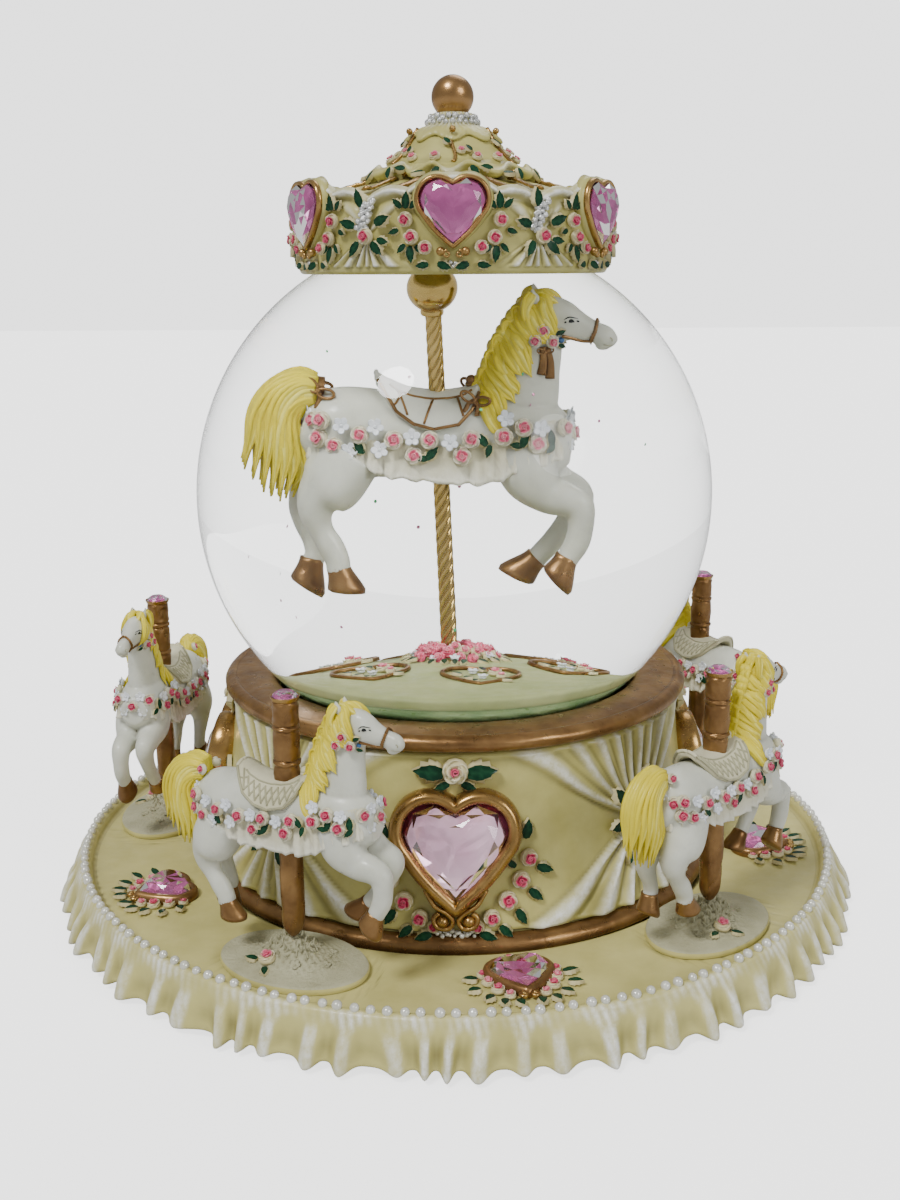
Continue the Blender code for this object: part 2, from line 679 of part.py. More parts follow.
def horse_mesh(scale, bore_r, lean):
    """A leaping horse facing +X, its origin in the middle of its body on the pole's line.

    The stations are (x, y, z, radius in the XZ plane, radius across) before scaling.
    """
    body = [
        (-31.0, 0, 3.0, 4.0, 4.6), (-27.0, 0, 3.0, 9.0, 8.0), (-17.0, 0, 1.8, 10.8, 9.8),
        (6.0, 0, 0.4, 10.2, 9.8), (19.0, 0, -0.4, 10.6, 9.4), (30.5, 0, -0.8, 4.0, 4.6),
    ]
    neck = [(17.0, 0, -2.0, 9.0, 6.6), (20.0, 0, 11.0, 8.8, 5.4), (24.6, 0, 27.5, 5.8, 4.2)]
    head = [
        (22.0, 0, 30.4, 3.2, 2.8), (27.4, 0, 28.2, 5.2, 4.0), (34.6, 0, 25.6, 3.6, 3.0),
        (41.6, 0, 23.2, 2.6, 2.5),
    ]
    tail = [
        (-26.0, 0, 9.0, 2.8, 2.8), (-35.0, 0, 11.4, 3.2, 3.0), (-43.4, 0, 4.0, 3.9, 3.6),
        (-44.2, 0, -8.4, 3.8, 3.2), (-40.8, 0, -15.8, 1.6, 1.4),
    ]
    saddle = [(-14.6, 0, 10.2, 4.8, 6.0), (-4.0, 0, 8.0, 3.6, 7.4), (8.6, 0, 9.4, 3.2, 5.0)]
    parts = [limb("neck", neck), limb("head", head), limb("tail", tail), limb("saddle", saddle)]
    for side in (-1, 1):
        ear = [(22.4, side * 1.9, 31.0, 1.5, 1.3), (21.8, side * 2.4, 34.9, 0.4, 0.4)]
        parts.append(limb("ear", ear, 4))
        reach = 2.4 * side
        fore = [
            (20.0, side * 4.4, -5.0, 5.4, 4.4), (31.0, side * 5.0, -9.6, 4.6, 3.8),
            (34.0, side * 5.0, -16.0, 2.6, 2.6), (31.0 - reach, side * 5.0, -25.0, 2.3, 2.2),
            (23.6 - 2.0 * reach, side * 5.0, -34.0, 3.2, 3.0),
        ]
        parts.append(limb("fore", fore))
        swing = 1.0 + 2.0 * side
        hind = [
            (-24.0, side * 4.2, -1.0, 7.4, 4.8), (-29.0, side * 4.8, -11.0, 4.6, 3.8),
            (-27.6 + 1.2 * swing, side * 5.0, -23.0, 2.4, 2.3), (-30.0 + swing, side * 5.0, -36.0, 3.2, 3.0),
        ]
        parts.append(limb("hind", hind))
    mesh = united(limb("trunk", body, 8), *parts)
    mesh.transform(Matrix.Scale(scale, 4))
    reach = Vector((math.sin(lean), 0, math.cos(lean))) * 30 * scale
    return drilled(mesh, rod("bore", -reach, reach, bore_r, 10))


def globe_horse():
    lean = math.atan2(POLE_TOP[0] - POLE_FOOT[0], POLE_TOP[1] - POLE_FOOT[1])
    share = (GLOBE_HORSE_Z - POLE_FOOT[1]) / (POLE_TOP[1] - POLE_FOOT[1])
    x = POLE_FOOT[0] + share * (POLE_TOP[0] - POLE_FOOT[0])
    mesh = horse_mesh(GLOBE_HORSE_SCALE, POLE_R + GAP, lean)
    place("globe_horse", move_mesh(mesh, shift(x, 0, GLOBE_HORSE_Z)), "white_resin", 50)


def side_horses(parent):
    """Five horses, each on a post that stands in the flower mound of an oval disc."""
    horse = horse_mesh(SIDE_HORSE_SCALE, POST_R + GAP, 0.0)
    disc_layers = [(1.0, DECK_Z + GAP), (1.0, 11.4), (0.44, 12.6)]
    rings = []
    for share, z in disc_layers:
        half_length, half_width = share * DISC_HALF_LENGTH, share * DISC_HALF_WIDTH
        rings.append([(x * half_length, y * half_width, z) for x, y in circle(1.0, 16)])
    rings.append([(x, y, MOUND_TOP) for x, y in circle(3.4, 16)])
    disc = skinned("disc", rings)
    low = MOUND_TOP + GAP
    post_stations = [
        (low, 1.6), (low + 2.4, POST_LOWER_R), (36.0, POST_LOWER_R), (40.0, POST_R), (POST_TOP, POST_R),
    ]
    post = turned("post", [(0, low), *[(r, z) for z, r in post_stations], (0, POST_TOP)], 10, closed=False)
    gem_low = POST_TOP + GAP
    gem = turned("gem", [(0, gem_low), (2.5, gem_low), (2.65, gem_low + 0.6), (1.5, gem_low + 1.7),
                         (0, gem_low + 1.7)], 10, closed=False)
    for k in range(HORSE_COUNT):
        angle = math.radians(FIRST_HORSE_ANGLE + 72 * k)
        spot = (HORSE_CIRCLE_R * MM * math.sin(angle), -HORSE_CIRCLE_R * MM * math.cos(angle))
        pieces = [
            place(f"horse_{k + 1}", horse, "white_resin", 50, parent),
            place(f"horse_disc_{k + 1}", disc, "cream_resin", 40, parent),
            place(f"horse_post_{k + 1}", post, "gold_paint", 40, parent),
            place(f"post_gem_{k + 1}", gem, "pink_gem", None, parent),
        ]
        for piece in pieces:
            piece.location = (*spot, 0)
            piece.rotation_euler = (0, 0, angle)
        pieces[0].location.z = SIDE_HORSE_Z * MM


# ---------------------------------------------------------------- platform and crown

def platform(parent):
    """Ring-shaped deck with a beaded edge and a ruffled skirt."""
    profile = [
        (WEB_R, WEB_BOTTOM), (64.8, WEB_BOTTOM), (67.0, 6.9), (88.0, 6.9), (91.0, 4.6), (93.4, SKIRT_BOTTOM),
        (SKIRT_R, SKIRT_BOTTOM), (94.4, 5.4), (91.8, 10.4), (BEAD_R, BEAD_TOP), (88.6, DECK_Z),
        (DECK_INNER_R, DECK_Z), (DECK_INNER_R - 0.4, WEB_TOP), (WEB_R, WEB_TOP),
    ]
    skirt = range(5, 9)

    def ruffle(point, segment):
        if point not in skirt:
            return 0
        return 0 if segment % 2 == 0 else -RUFFLE_DEPTH

    mesh = turned("platform", profile, PLATFORM_SEGMENTS, ripple=ruffle)
    place("platform", mesh, "cream_resin", 30, parent)


def platform_gems(parent):
    """Heart jewels lying on the deck between the horses, their tips outwards."""
    low = DECK_Z + GAP
    mesh = heart_plate("jewel", 12.4, 11.6, ((1.0, low), (1.0, low + 1.8), (0.6, low + 4.0)))
    for k in range(HORSE_COUNT):
        obj = place(f"platform_gem_{k + 1}", mesh, "pink_gem", None, parent)
        angle = math.radians(FIRST_HORSE_ANGLE + 36 + 72 * k)
        obj.location = (HORSE_CIRCLE_R * MM * math.sin(angle), -HORSE_CIRCLE_R * MM * math.cos(angle), 0)
        obj.rotation_euler = (0, 0, angle)


def canopy():
    """Crown-shaped canopy, hollowed to sit on the top of the globe."""
    clear_r = GLOBE_R + 0.4
    dish = []
    for share in (0.0, 0.35, 0.7, 1.0):
        radius = 32.6 * share
        dish.append((radius, GLOBE_Z + math.sqrt(clear_r ** 2 - radius ** 2) + 0.25))
    profile = dish + [
        (34.2, CROWN_BOTTOM), (34.9, 147.6), (CROWN_BAND_R, 151.0), (CROWN_BAND_R, 161.0), (34.2, 164.4),
        (31.0, 165.4), (19.6, 168.0), (18.4, 170.0), (12.4, 172.6), (9.4, 174.6), (8.2, 176.4), (6.0, 177.4),
        (5.8, 180.0), (4.7, 180.3), (4.4, 178.6), (0, 178.6),
    ]
    shell = turned("shell", profile, 32, closed=False)
    bezels = []
    for k in range(CROWN_GEM_COUNT):
        plate = heart_plate("bezel", 15.2, 13.6, ((0.9, -3.6), (1.0, -0.6), (0.94, 0.0)))
        bezels.append(move_mesh(plate, facing_out(CROWN_BEZEL_R, CROWN_GEM_Z, 60 * k)))
    place("canopy", united(shell, *bezels), "cream_resin", 30)


def crown_gems():
    for k in range(CROWN_GEM_COUNT):
        mesh = wall_gem(12.2, 11.8, GAP, 2.6)
        move_mesh(mesh, facing_out(CROWN_BEZEL_R, CROWN_GEM_Z, 60 * k))
        place(f"crown_gem_{k + 1}", mesh, "pink_gem")


def finial():
    mesh = turned("finial", ball_profile(FINIAL_R, 8), 14, closed=False)
    place("finial_ball", move_mesh(mesh, shift(0, 0, FINIAL_Z)), "gold_paint", 60)


def axis_at(name, x, y, z):
    """An empty on a joint's axis, for the pieces that turn about it."""
    empty = bpy.data.objects.new(name, None)
    empty.location = (x * MM, y * MM, z * MM)
    bpy.context.scene.collection.objects.link(empty)
    return empty


def build():
    clear_scene()
    base_pan()
    glide_ring()
    drum()
    drum_gems()
    rim_ring()
    music_works()
    governor_bracket()
    globe_glass()
    globe_stopper()
    globe_floor()
    globe_pole()
    globe_horse()
    canopy()
    crown_gems()
    finial()

    turning = axis_at("platform_axis", 0, 0, 0)
    platform(turning)
    ring_gear(turning)
    side_horses(turning)
    platform_gems(turning)

    arbor = axis_at("arbor_axis", 0, 0, 0)
    great_wheel(arbor)
    winding_key(arbor)
    drive_shaft(axis_at("drive_axis", DRIVE_X, 0, 0))
    music_cylinder(axis_at("cylinder_axis", 0, 0, CYLINDER_Z))
    governor_wheel(axis_at("governor_axis", 0, GOVERNOR_Y, 0))
    worm_x = GOVERNOR_TEETH * GOVERNOR_MODULE / 2 + WORM_PITCH_R
    governor_worm(axis_at("worm_axis", worm_x, GOVERNOR_Y, GOVERNOR_Z))


build()
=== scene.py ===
"""Looks of the musical carousel snow globe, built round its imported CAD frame.

Lengths are in millimetres until a piece's mesh is made.  Angles round the drum are measured from
the front (-Y) towards +X, and a place on a turned surface is given as (angle, height).
"""

import math

import bmesh
import bpy
import numpy as np
from mathutils import Matrix, Vector
from mathutils.bvhtree import BVHTree


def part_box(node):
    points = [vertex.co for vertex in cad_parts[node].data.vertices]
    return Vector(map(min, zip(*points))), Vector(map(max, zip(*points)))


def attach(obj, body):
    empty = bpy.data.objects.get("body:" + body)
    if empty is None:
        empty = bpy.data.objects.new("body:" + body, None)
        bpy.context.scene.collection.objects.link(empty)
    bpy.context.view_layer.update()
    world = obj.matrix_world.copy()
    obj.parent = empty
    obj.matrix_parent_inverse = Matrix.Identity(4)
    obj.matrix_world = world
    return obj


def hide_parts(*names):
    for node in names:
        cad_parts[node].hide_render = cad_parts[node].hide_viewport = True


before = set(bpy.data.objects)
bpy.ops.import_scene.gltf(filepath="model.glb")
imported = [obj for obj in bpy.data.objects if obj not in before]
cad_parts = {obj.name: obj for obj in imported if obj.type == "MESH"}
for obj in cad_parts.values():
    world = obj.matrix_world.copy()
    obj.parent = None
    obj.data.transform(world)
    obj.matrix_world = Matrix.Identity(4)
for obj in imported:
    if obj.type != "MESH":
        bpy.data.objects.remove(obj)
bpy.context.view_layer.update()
MM = 0.001


# ---------------------------------------------------------------- sizes, from the CAD frame

def node_box(node):
    """Lowest and highest corner of a CAD node in millimetres."""
    low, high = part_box(node)
    return np.array(low) / MM, np.array(high) / MM


def lowest(node):
    """Height of a CAD node's underside."""
    return float(node_box(node)[0][2])


def highest(node):
    """Height of a CAD node's top."""
    return float(node_box(node)[1][2])


GLOBE_R = 60.0
GLOBE_Z = 95.0
NECK_R = 33.0
FLOOR_TOP = highest("globe_floor")
DRUM_BOTTOM = lowest("drum")
DRUM_TOP = highest("drum")
DRUM_SLOPE = math.radians(13.0)
DRUM_GEM_Z = 29.5
DRUM_GEM_R = 57.6
RIM_LOW = lowest("rim_ring")
DECK_Z = 9.5
DECK_INNER_R = 63.6
BEAD_R = 90.3
SKIRT_BOTTOM = lowest("platform")
HORSE_COUNT = 5
BACK_HORSE = 3  # counted from 0, the one behind the drum at rest
FIRST_HORSE_ANGLE = math.radians(-26.0)
HORSE_STEP = 2 * math.pi / HORSE_COUNT
HORSE_CIRCLE_R = 75.0
SIDE_HORSE_SCALE = 0.66
SIDE_HORSE_Z = 43.0
SIDE_HORSE_PITCH = math.radians(-5.0)
POST_TOP = 66.0
MOUND_TOP = 15.8
POST_FOOT = MOUND_TOP + 0.3
POLE_R = 1.45
POLE_PITCH = 12.7
POLE_FOOT = np.array([-0.9, 0.0, 65.8])
POLE_TOP = np.array([-3.6, 0.0, 127.6])
BALL_R = 4.6
GLOBE_HORSE_Z = 105.0
GLOBE_HORSE_SCALE = 0.772
CROWN_BOTTOM = lowest("canopy")
CROWN_R = 34.8
CROWN_BEZEL_R = 36.0
CROWN_GEM_Z = 158.0
CROWN_GEMS = 6
FINIAL_R = 4.7
FINIAL_Z = 183.7

# how finely the large turned pieces are divided round the axis
SKIRT_COLUMNS = 1440
DRUM_COLUMNS = 1500
CROWN_COLUMNS = 960
RIM_COLUMNS = 360
GLASS_COLUMNS = 240
FLOOR_COLUMNS = 220
DISC_COLUMNS = 150


# ---------------------------------------------------------------- materials

# noise scales: the paint's mottle, its uneven gloss and the dry brush's breaks
MOTTLE_SCALE = 130.0
GLOSS_SCALE = 350.0
BRUSH_SCALE = 700.0


def new_material(name):
    made = bpy.data.materials.new(name)
    made.use_nodes = True
    return made, made.node_tree.nodes, made.node_tree.links


def add_node(nodes, kind, **values):
    """A node with some of its properties and inputs set."""
    node = nodes.new(kind)
    for key, value in values.items():
        if key in node.inputs:
            node.inputs[key].default_value = value
        else:
            setattr(node, key, value)
    return node


def noise(nodes, links, scale, detail=3.0, roughness=0.55):
    """Noise over the piece's own space, with features about 1/scale metres wide."""
    place = nodes.new("ShaderNodeTexCoord")
    node = add_node(nodes, "ShaderNodeTexNoise", Scale=scale, Detail=detail, Roughness=roughness)
    links.new(place.outputs["Object"], node.inputs["Vector"])
    return node.outputs["Fac"]


def remap(nodes, links, value, low, high, out_low=0.0, out_high=1.0):
    node = nodes.new("ShaderNodeMapRange")
    links.new(value, node.inputs["Value"])
    for key, number in (("From Min", low), ("From Max", high), ("To Min", out_low), ("To Max", out_high)):
        node.inputs[key].default_value = number
    return node.outputs["Result"]


def mixed(nodes, links, factor, first, second):
    """A colour between two, each a colour or an output."""
    node = nodes.new("ShaderNodeMix")
    node.data_type = "RGBA"
    links.new(factor, node.inputs["Factor"])
    for socket, value in ((node.inputs[6], first), (node.inputs[7], second)):
        if isinstance(value, tuple):
            socket.default_value = (*value, 1.0)
        else:
            links.new(value, socket)
    return node.outputs[2]


def painted(name, light, dark, hollow_shade=None, ridge=None, roughness=0.42, spread=0.12, metallic=0.0,
            grain=900.0, bump=0.12, coat=0.0, subsurface=0.0, ridge_roughness=None, shine=0.3):
    """A painted or metal finish: two tones in a soft mottle, painted shade (a darker colour) in the
    hollows and, where the mesh's tone is high, a dry-brushed ridge colour.  A fine grain gives it its bump."""
    made, nodes, links = new_material(name)
    shader = nodes["Principled BSDF"]
    mottle = remap(nodes, links, noise(nodes, links, MOTTLE_SCALE, 4.0), 0.35, 0.68)
    colour = mixed(nodes, links, mottle, dark, light)
    # painted shade: where pointiness is low, in creases and recesses, the colour turns to the darker hollow
    # colour
    if hollow_shade:
        geometry = nodes.new("ShaderNodeNewGeometry")
        hollow = remap(nodes, links, geometry.outputs["Pointiness"], 0.50, 0.43)
        colour = mixed(nodes, links, hollow, colour, hollow_shade)
    gloss = noise(nodes, links, GLOSS_SCALE)
    rough = remap(nodes, links, gloss, 0.3, 0.7, roughness - spread, roughness + spread)
    if ridge:
        tone = add_node(nodes, "ShaderNodeAttribute", attribute_name="tone")
        brushed = add_node(nodes, "ShaderNodeMath", operation="MULTIPLY")
        breaks = remap(nodes, links, noise(nodes, links, BRUSH_SCALE, 5.0, 0.7), 0.3, 0.6, 0.35, 1.0)
        links.new(tone.outputs["Fac"], brushed.inputs[0])
        links.new(breaks, brushed.inputs[1])
        colour = mixed(nodes, links, brushed.outputs[0], colour, ridge)
        if ridge_roughness is not None:
            blend = nodes.new("ShaderNodeMix")
            links.new(brushed.outputs[0], blend.inputs["Factor"])
            links.new(rough, blend.inputs[2])
            blend.inputs[3].default_value = ridge_roughness
            rough = blend.outputs[0]
    links.new(colour, shader.inputs["Base Color"])
    links.new(rough, shader.inputs["Roughness"])
    grain_bump = add_node(nodes, "ShaderNodeBump", Strength=bump, Distance=0.0004)
    links.new(noise(nodes, links, grain, 4.0), grain_bump.inputs["Height"])
    links.new(grain_bump.outputs["Normal"], shader.inputs["Normal"])
    shader.inputs["Metallic"].default_value = metallic
    shader.inputs["Specular IOR Level"].default_value = shine
    shader.inputs["Coat Weight"].default_value = coat
    shader.inputs["Coat Roughness"].default_value = 0.12
    shader.inputs["Subsurface Weight"].default_value = subsurface
    shader.inputs["Subsurface Radius"].default_value = (0.004, 0.0035, 0.0025)
    shader.inputs["Subsurface Scale"].default_value = 0.6
    return made


def clear_material(name, colour, ior, roughness=0.0, shadow=0.92):
    """Clear glass or water.  shadow is the share of a lamp's light that shines through it."""
    made, nodes, links = new_material(name)
    shader = nodes["Principled BSDF"]
    shader.inputs["Base Color"].default_value = (*colour, 1.0)
    shader.inputs["Transmission Weight"].default_value = 1.0
    shader.inputs["Roughness"].default_value = roughness
    shader.inputs["IOR"].default_value = ior
    through = nodes.new("ShaderNodeBsdfTransparent")
    through.inputs["Color"].default_value = (shadow, shadow, shadow, 1.0)
    path = nodes.new("ShaderNodeLightPath")
    either = nodes.new("ShaderNodeMixShader")
    links.new(path.outputs["Is Shadow Ray"], either.inputs[0])
    links.new(shader.outputs[0], either.inputs[1])
    links.new(through.outputs[0], either.inputs[2])
    links.new(either.outputs[0], nodes["Material Output"].inputs["Surface"])
    return made


CREAM = (0.54, 0.50, 0.18)
CREAM_DARK = (0.44, 0.40, 0.13)
# painted shade: the darker colour that the cream and deck finishes take in their hollows
CREAM_HOLLOW_SHADE = (0.11, 0.09, 0.025)
PEARL = (0.88, 0.89, 0.85)


def make_materials():
    """Every finish, by the name the pieces use."""
    # each finish's third colour, where one is given, is painted shade in its hollows
    return {
        "cream": painted("cream_resin", CREAM, CREAM_DARK, hollow_shade=CREAM_HOLLOW_SHADE, ridge=PEARL, coat=0.25,
                         roughness=0.40, ridge_roughness=0.22),
        "deck": painted("platform_resin", (0.57, 0.52, 0.20), (0.49, 0.445, 0.16), hollow_shade=CREAM_HOLLOW_SHADE,
                        ridge=PEARL, coat=0.15, roughness=0.45, ridge_roughness=0.24),
        "disc": painted("disc_resin", (0.47, 0.455, 0.30), (0.36, 0.345, 0.215), hollow_shade=(0.15, 0.13, 0.06),
                        grain=1400.0, bump=0.9, roughness=0.6),
        "lace": painted("lace_cream", (0.68, 0.65, 0.47), (0.58, 0.55, 0.37), hollow_shade=(0.30, 0.26, 0.13),
                        ridge=(0.84, 0.83, 0.72), roughness=0.5, bump=0.3, grain=1500.0),
        "white": painted("white_resin", (0.68, 0.69, 0.60), (0.57, 0.58, 0.49), hollow_shade=(0.20, 0.19, 0.13),
                         roughness=0.36, coat=0.15, subsurface=0.12, bump=0.06),
        "hair": painted("mane_yellow", (0.80, 0.68, 0.045), (0.68, 0.55, 0.025), hollow_shade=(0.30, 0.21, 0.01),
                        ridge=(0.88, 0.80, 0.17), roughness=0.45, coat=0.1, bump=0.1),
        "bronze": painted("bronze_paint", (0.34, 0.195, 0.075), (0.17, 0.088, 0.032),
                          hollow_shade=(0.035, 0.016, 0.006), roughness=0.34, spread=0.1, metallic=0.75,
                          grain=500.0, bump=0.25),
        "gold": painted("gold_paint", (0.50, 0.32, 0.115), (0.32, 0.185, 0.06), hollow_shade=(0.07, 0.035, 0.014),
                        roughness=0.28, spread=0.08, metallic=0.9, grain=600.0, bump=0.15),
        "finial": painted("finial_gold", (0.42, 0.25, 0.105), (0.34, 0.19, 0.075), roughness=0.3, spread=0.05,
                          metallic=0.95, grain=1500.0, bump=0.08),
        "brass": painted("polished_brass", (0.66, 0.48, 0.17), (0.54, 0.37, 0.115), hollow_shade=(0.05, 0.03, 0.01),
                         roughness=0.16, spread=0.05, metallic=1.0, grain=800.0, bump=0.05),
        "rose": painted("rose_crimson", (0.60, 0.030, 0.115), (0.44, 0.018, 0.075), hollow_shade=(0.17, 0.006, 0.03),
                        ridge=(0.78, 0.20, 0.28), roughness=0.45, bump=0.1, coat=0.1),
        "pink": painted("rose_pink", (0.70, 0.115, 0.21), (0.60, 0.075, 0.15), hollow_shade=(0.30, 0.025, 0.06),
                        ridge=(0.84, 0.38, 0.42), roughness=0.45, bump=0.1, coat=0.1),
        "petal": painted("petal_cream", (0.66, 0.60, 0.34), (0.56, 0.49, 0.27), hollow_shade=(0.24, 0.16, 0.07),
                         ridge=(0.80, 0.76, 0.56), roughness=0.45, coat=0.1, bump=0.1),
        "leaf": painted("leaf_green", (0.002, 0.042, 0.017), (0.001, 0.020, 0.009),
                        hollow_shade=(0.001, 0.008, 0.004), ridge=(0.015, 0.085, 0.035), roughness=0.5,
                        coat=0.05, bump=0.15, shine=0.15),
        "pearl": painted("pearl_white", (0.80, 0.80, 0.74), (0.66, 0.66, 0.57), hollow_shade=(0.26, 0.24, 0.15),
                         roughness=0.18, spread=0.05, coat=0.8, bump=0.04, metallic=0.25),
        "silver": painted("silver_glitter", (0.82, 0.83, 0.82), (0.52, 0.53, 0.52), hollow_shade=(0.15, 0.15, 0.12),
                          roughness=0.2, spread=0.1, metallic=0.7, grain=2500.0, bump=0.7),
        "black": painted("painted_black", (0.010, 0.014, 0.014), (0.005, 0.007, 0.007), roughness=0.3),
        "blue": painted("painted_blue", (0.06, 0.16, 0.36), (0.04, 0.11, 0.26), roughness=0.4),
        "snow": painted("flower_white", (0.84, 0.86, 0.88), (0.72, 0.76, 0.80), hollow_shade=(0.38, 0.42, 0.46),
                        roughness=0.4, coat=0.2, bump=0.1),
        "floor": painted("floor_resin", (0.40, 0.43, 0.20), (0.32, 0.36, 0.15), hollow_shade=(0.10, 0.12, 0.045),
                         roughness=0.5, bump=0.15),
        "moss": painted("floor_moss", (0.22, 0.30, 0.13), (0.11, 0.19, 0.07), hollow_shade=(0.05, 0.09, 0.03),
                        roughness=0.35, spread=0.12, grain=3000.0, bump=0.8),
        "glitter": painted("pink_glitter", (0.85, 0.35, 0.55), (0.70, 0.22, 0.42), roughness=0.2,
                           metallic=0.6),
        "green_glitter": painted("green_glitter", (0.20, 0.75, 0.35), (0.10, 0.55, 0.22), roughness=0.2,
                                 metallic=0.6),
        "plum": painted("bezel_plum", (0.42, 0.10, 0.20), (0.27, 0.05, 0.11), hollow_shade=(0.08, 0.02, 0.04),
                        roughness=0.2, metallic=0.7, coat=0.3),
        "foil": painted("gem_foil", (0.80, 0.42, 0.64), (0.60, 0.26, 0.46), roughness=0.16, spread=0.04,
                        metallic=0.7, bump=0.02),
        "foil_pale": painted("gem_foil_pale", (0.96, 0.74, 0.84), (0.90, 0.62, 0.75), roughness=0.14,
                             spread=0.04, metallic=0.5, bump=0.02),
        "gem": clear_material("gem_pink", (0.77, 0.37, 0.63), 1.50, 0.02),
        "gem_pale": clear_material("gem_pale", (0.95, 0.82, 0.90), 1.50, 0.01),
        "glass": clear_material("clear_glass", (0.985, 0.995, 0.99), 1.33, 0.0, 0.97),
        "steel": painted("brushed_steel", (0.56, 0.56, 0.57), (0.44, 0.44, 0.45), hollow_shade=(0.12, 0.12, 0.12),
                         roughness=0.3, metallic=1.0, bump=0.1),
        "works": painted("works_brass", (0.72, 0.52, 0.20), (0.60, 0.42, 0.15), hollow_shade=(0.2, 0.12, 0.03),
                         roughness=0.3, metallic=1.0, bump=0.1),
        "nylon": painted("white_nylon", (0.80, 0.79, 0.75), (0.74, 0.73, 0.68), roughness=0.45, bump=0.08),
        "plastic": painted("grey_plastic", (0.055, 0.055, 0.058), (0.042, 0.042, 0.045), roughness=0.5,
                           grain=2200.0, bump=0.3),
        "rubber": painted("black_rubber", (0.02, 0.02, 0.02), (0.013, 0.013, 0.013), roughness=0.75,
                          bump=0.2),
    }


# ---------------------------------------------------------------- mesh building

def new_object(name, data):
    obj = bpy.data.objects.new(name, data)
    bpy.context.scene.collection.objects.link(obj)
    return obj


class Shape:
    """Points and faces gathered for one piece, with a finish for each face and a tone for each point."""

    def __init__(self):
        self.points = []
        self.tones = []
        self.faces = []
        self.paints = []
        self.count = 0

    def add(self, points, faces, paint, tone=0.0, smooth=True):
        """Adds (n, 3) points with a list of face arrays that index them."""
        points = np.asarray(points, float).reshape(-1, 3)
        self.points.append(points)
        self.tones.append(np.broadcast_to(np.asarray(tone, float).reshape(-1), (len(points),)))
        for block in faces:
            block = np.asarray(block, int)
            if len(block):
                self.faces.append((block + self.count, paint, smooth))
        self.count += len(points)

    def add_part(self, part, matrix, scale=1.0, paints=None):
        """Adds a ready-made part, a list of (points, faces, paint, tone), put in place by a 4x4 matrix."""
        for points, faces, paint, tone in part:
            moved = (points * scale) @ matrix[:3, :3].T + matrix[:3, 3]
            self.add(moved, faces, (paints or {}).get(paint, paint), tone)

    def mesh(self, name):
        """One mesh of all that was added, in metres, with its normals outwards."""
        points = np.concatenate(self.points) * MM
        used = list(dict.fromkeys(paint for _, paint, _ in self.faces))
        corners = np.concatenate([block.ravel() for block, _, _ in self.faces])
        sizes = np.concatenate([np.full(len(block), block.shape[1]) for block, _, _ in self.faces])
        slots = np.concatenate([np.full(len(block), used.index(paint)) for block, paint, _ in self.faces])
        smooth = np.concatenate([np.full(len(block), flag) for block, _, flag in self.faces])
        starts = np.concatenate([[0], np.cumsum(sizes)[:-1]])
        mesh = bpy.data.meshes.new(name)
        mesh.vertices.add(len(points))
        mesh.vertices.foreach_set("co", points.ravel())
        mesh.loops.add(len(corners))
        mesh.loops.foreach_set("vertex_index", corners.astype(np.int32))
        mesh.polygons.add(len(sizes))
        mesh.polygons.foreach_set("loop_start", starts.astype(np.int32))
        mesh.update(calc_edges=True)
        mesh.polygons.foreach_set("material_index", slots.astype(np.int32))
        mesh.polygons.foreach_set("use_smooth", smooth.astype(bool))
        tone = mesh.attributes.new("tone", "FLOAT", "POINT")
        tone.data.foreach_set("value", np.concatenate(self.tones).astype(np.float32))
        work = bmesh.new()
        work.from_mesh(mesh)
        bmesh.ops.recalc_face_normals(work, faces=work.faces)
        work.to_mesh(mesh)
        work.free()
        for paint in used:
            mesh.materials.append(PAINTS[paint])
        return mesh

    def piece(self, name, body, replaces):
        """Makes the mesh an object that rides on a body, in place of the CAD nodes it replaces."""
        obj = new_object(name, self.mesh(name))
        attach(obj, body)
        if replaces:
            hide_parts(*replaces)
        return obj


def grid_faces(rows, columns, wrap_rows=False, wrap_columns=False):
    """Four-sided faces over rows x columns points."""
    row, column = np.meshgrid(np.arange(rows if wrap_rows else rows - 1),
                              np.arange(columns if wrap_columns else columns - 1), indexing="ij")
    here, above = row * columns, (row + 1) % rows * columns
    ahead = (column + 1) % columns
    return np.stack([here + column, here + ahead, above + ahead, above + column], -1).reshape(-1, 4)


def fan_faces(centre, ring):
    """Triangles from a centre point to a closed ring of points."""
    ring = np.asarray(ring)
    return np.stack([np.full(len(ring), centre), ring, np.roll(ring, -1)], -1)


def end_caps(count, columns):
    """Fans to the first and the last of some rings that have count points in all.
    Their middles are the next two points."""
    return np.concatenate([
        fan_faces(count, np.arange(columns)),
        fan_faces(count + 1, np.arange(count - columns, count)),
    ])


def full_turn(count):
    """Evenly spaced angles round a circle."""
    return np.linspace(0, 2 * math.pi, count, endpoint=False)


def around(radius, angle, height):
    """Points at a radius, an angle and a height about the main axis."""
    return np.stack([radius * np.sin(angle), -radius * np.cos(angle), height], -1)


def spline(points, count):
    """Catmull-Rom curve through the points' columns, as count rows spread evenly over the points."""
    p = np.asarray(points, float)
    p = np.concatenate([[2 * p[0] - p[1]], p, [2 * p[-1] - p[-2]]])
    s = np.linspace(0, len(p) - 3, count)
    i = np.minimum(s.astype(int), len(p) - 4)
    f = (s - i)[:, None]
    a, b, c, d = p[i], p[i + 1], p[i + 2], p[i + 3]
    return 0.5 * (2 * b + (c - a) * f + (2 * a - 5 * b + 4 * c - d) * f ** 2 + (3 * b - a - 3 * c + d) * f ** 3)


def unit(vectors):
    vectors = np.asarray(vectors, float)
    return vectors / np.maximum(np.linalg.norm(vectors, axis=-1, keepdims=True), 1e-9)


def smooth_step(value, low, high):
    t = np.clip((value - low) / (high - low), 0.0, 1.0)
    return t * t * (3 - 2 * t)


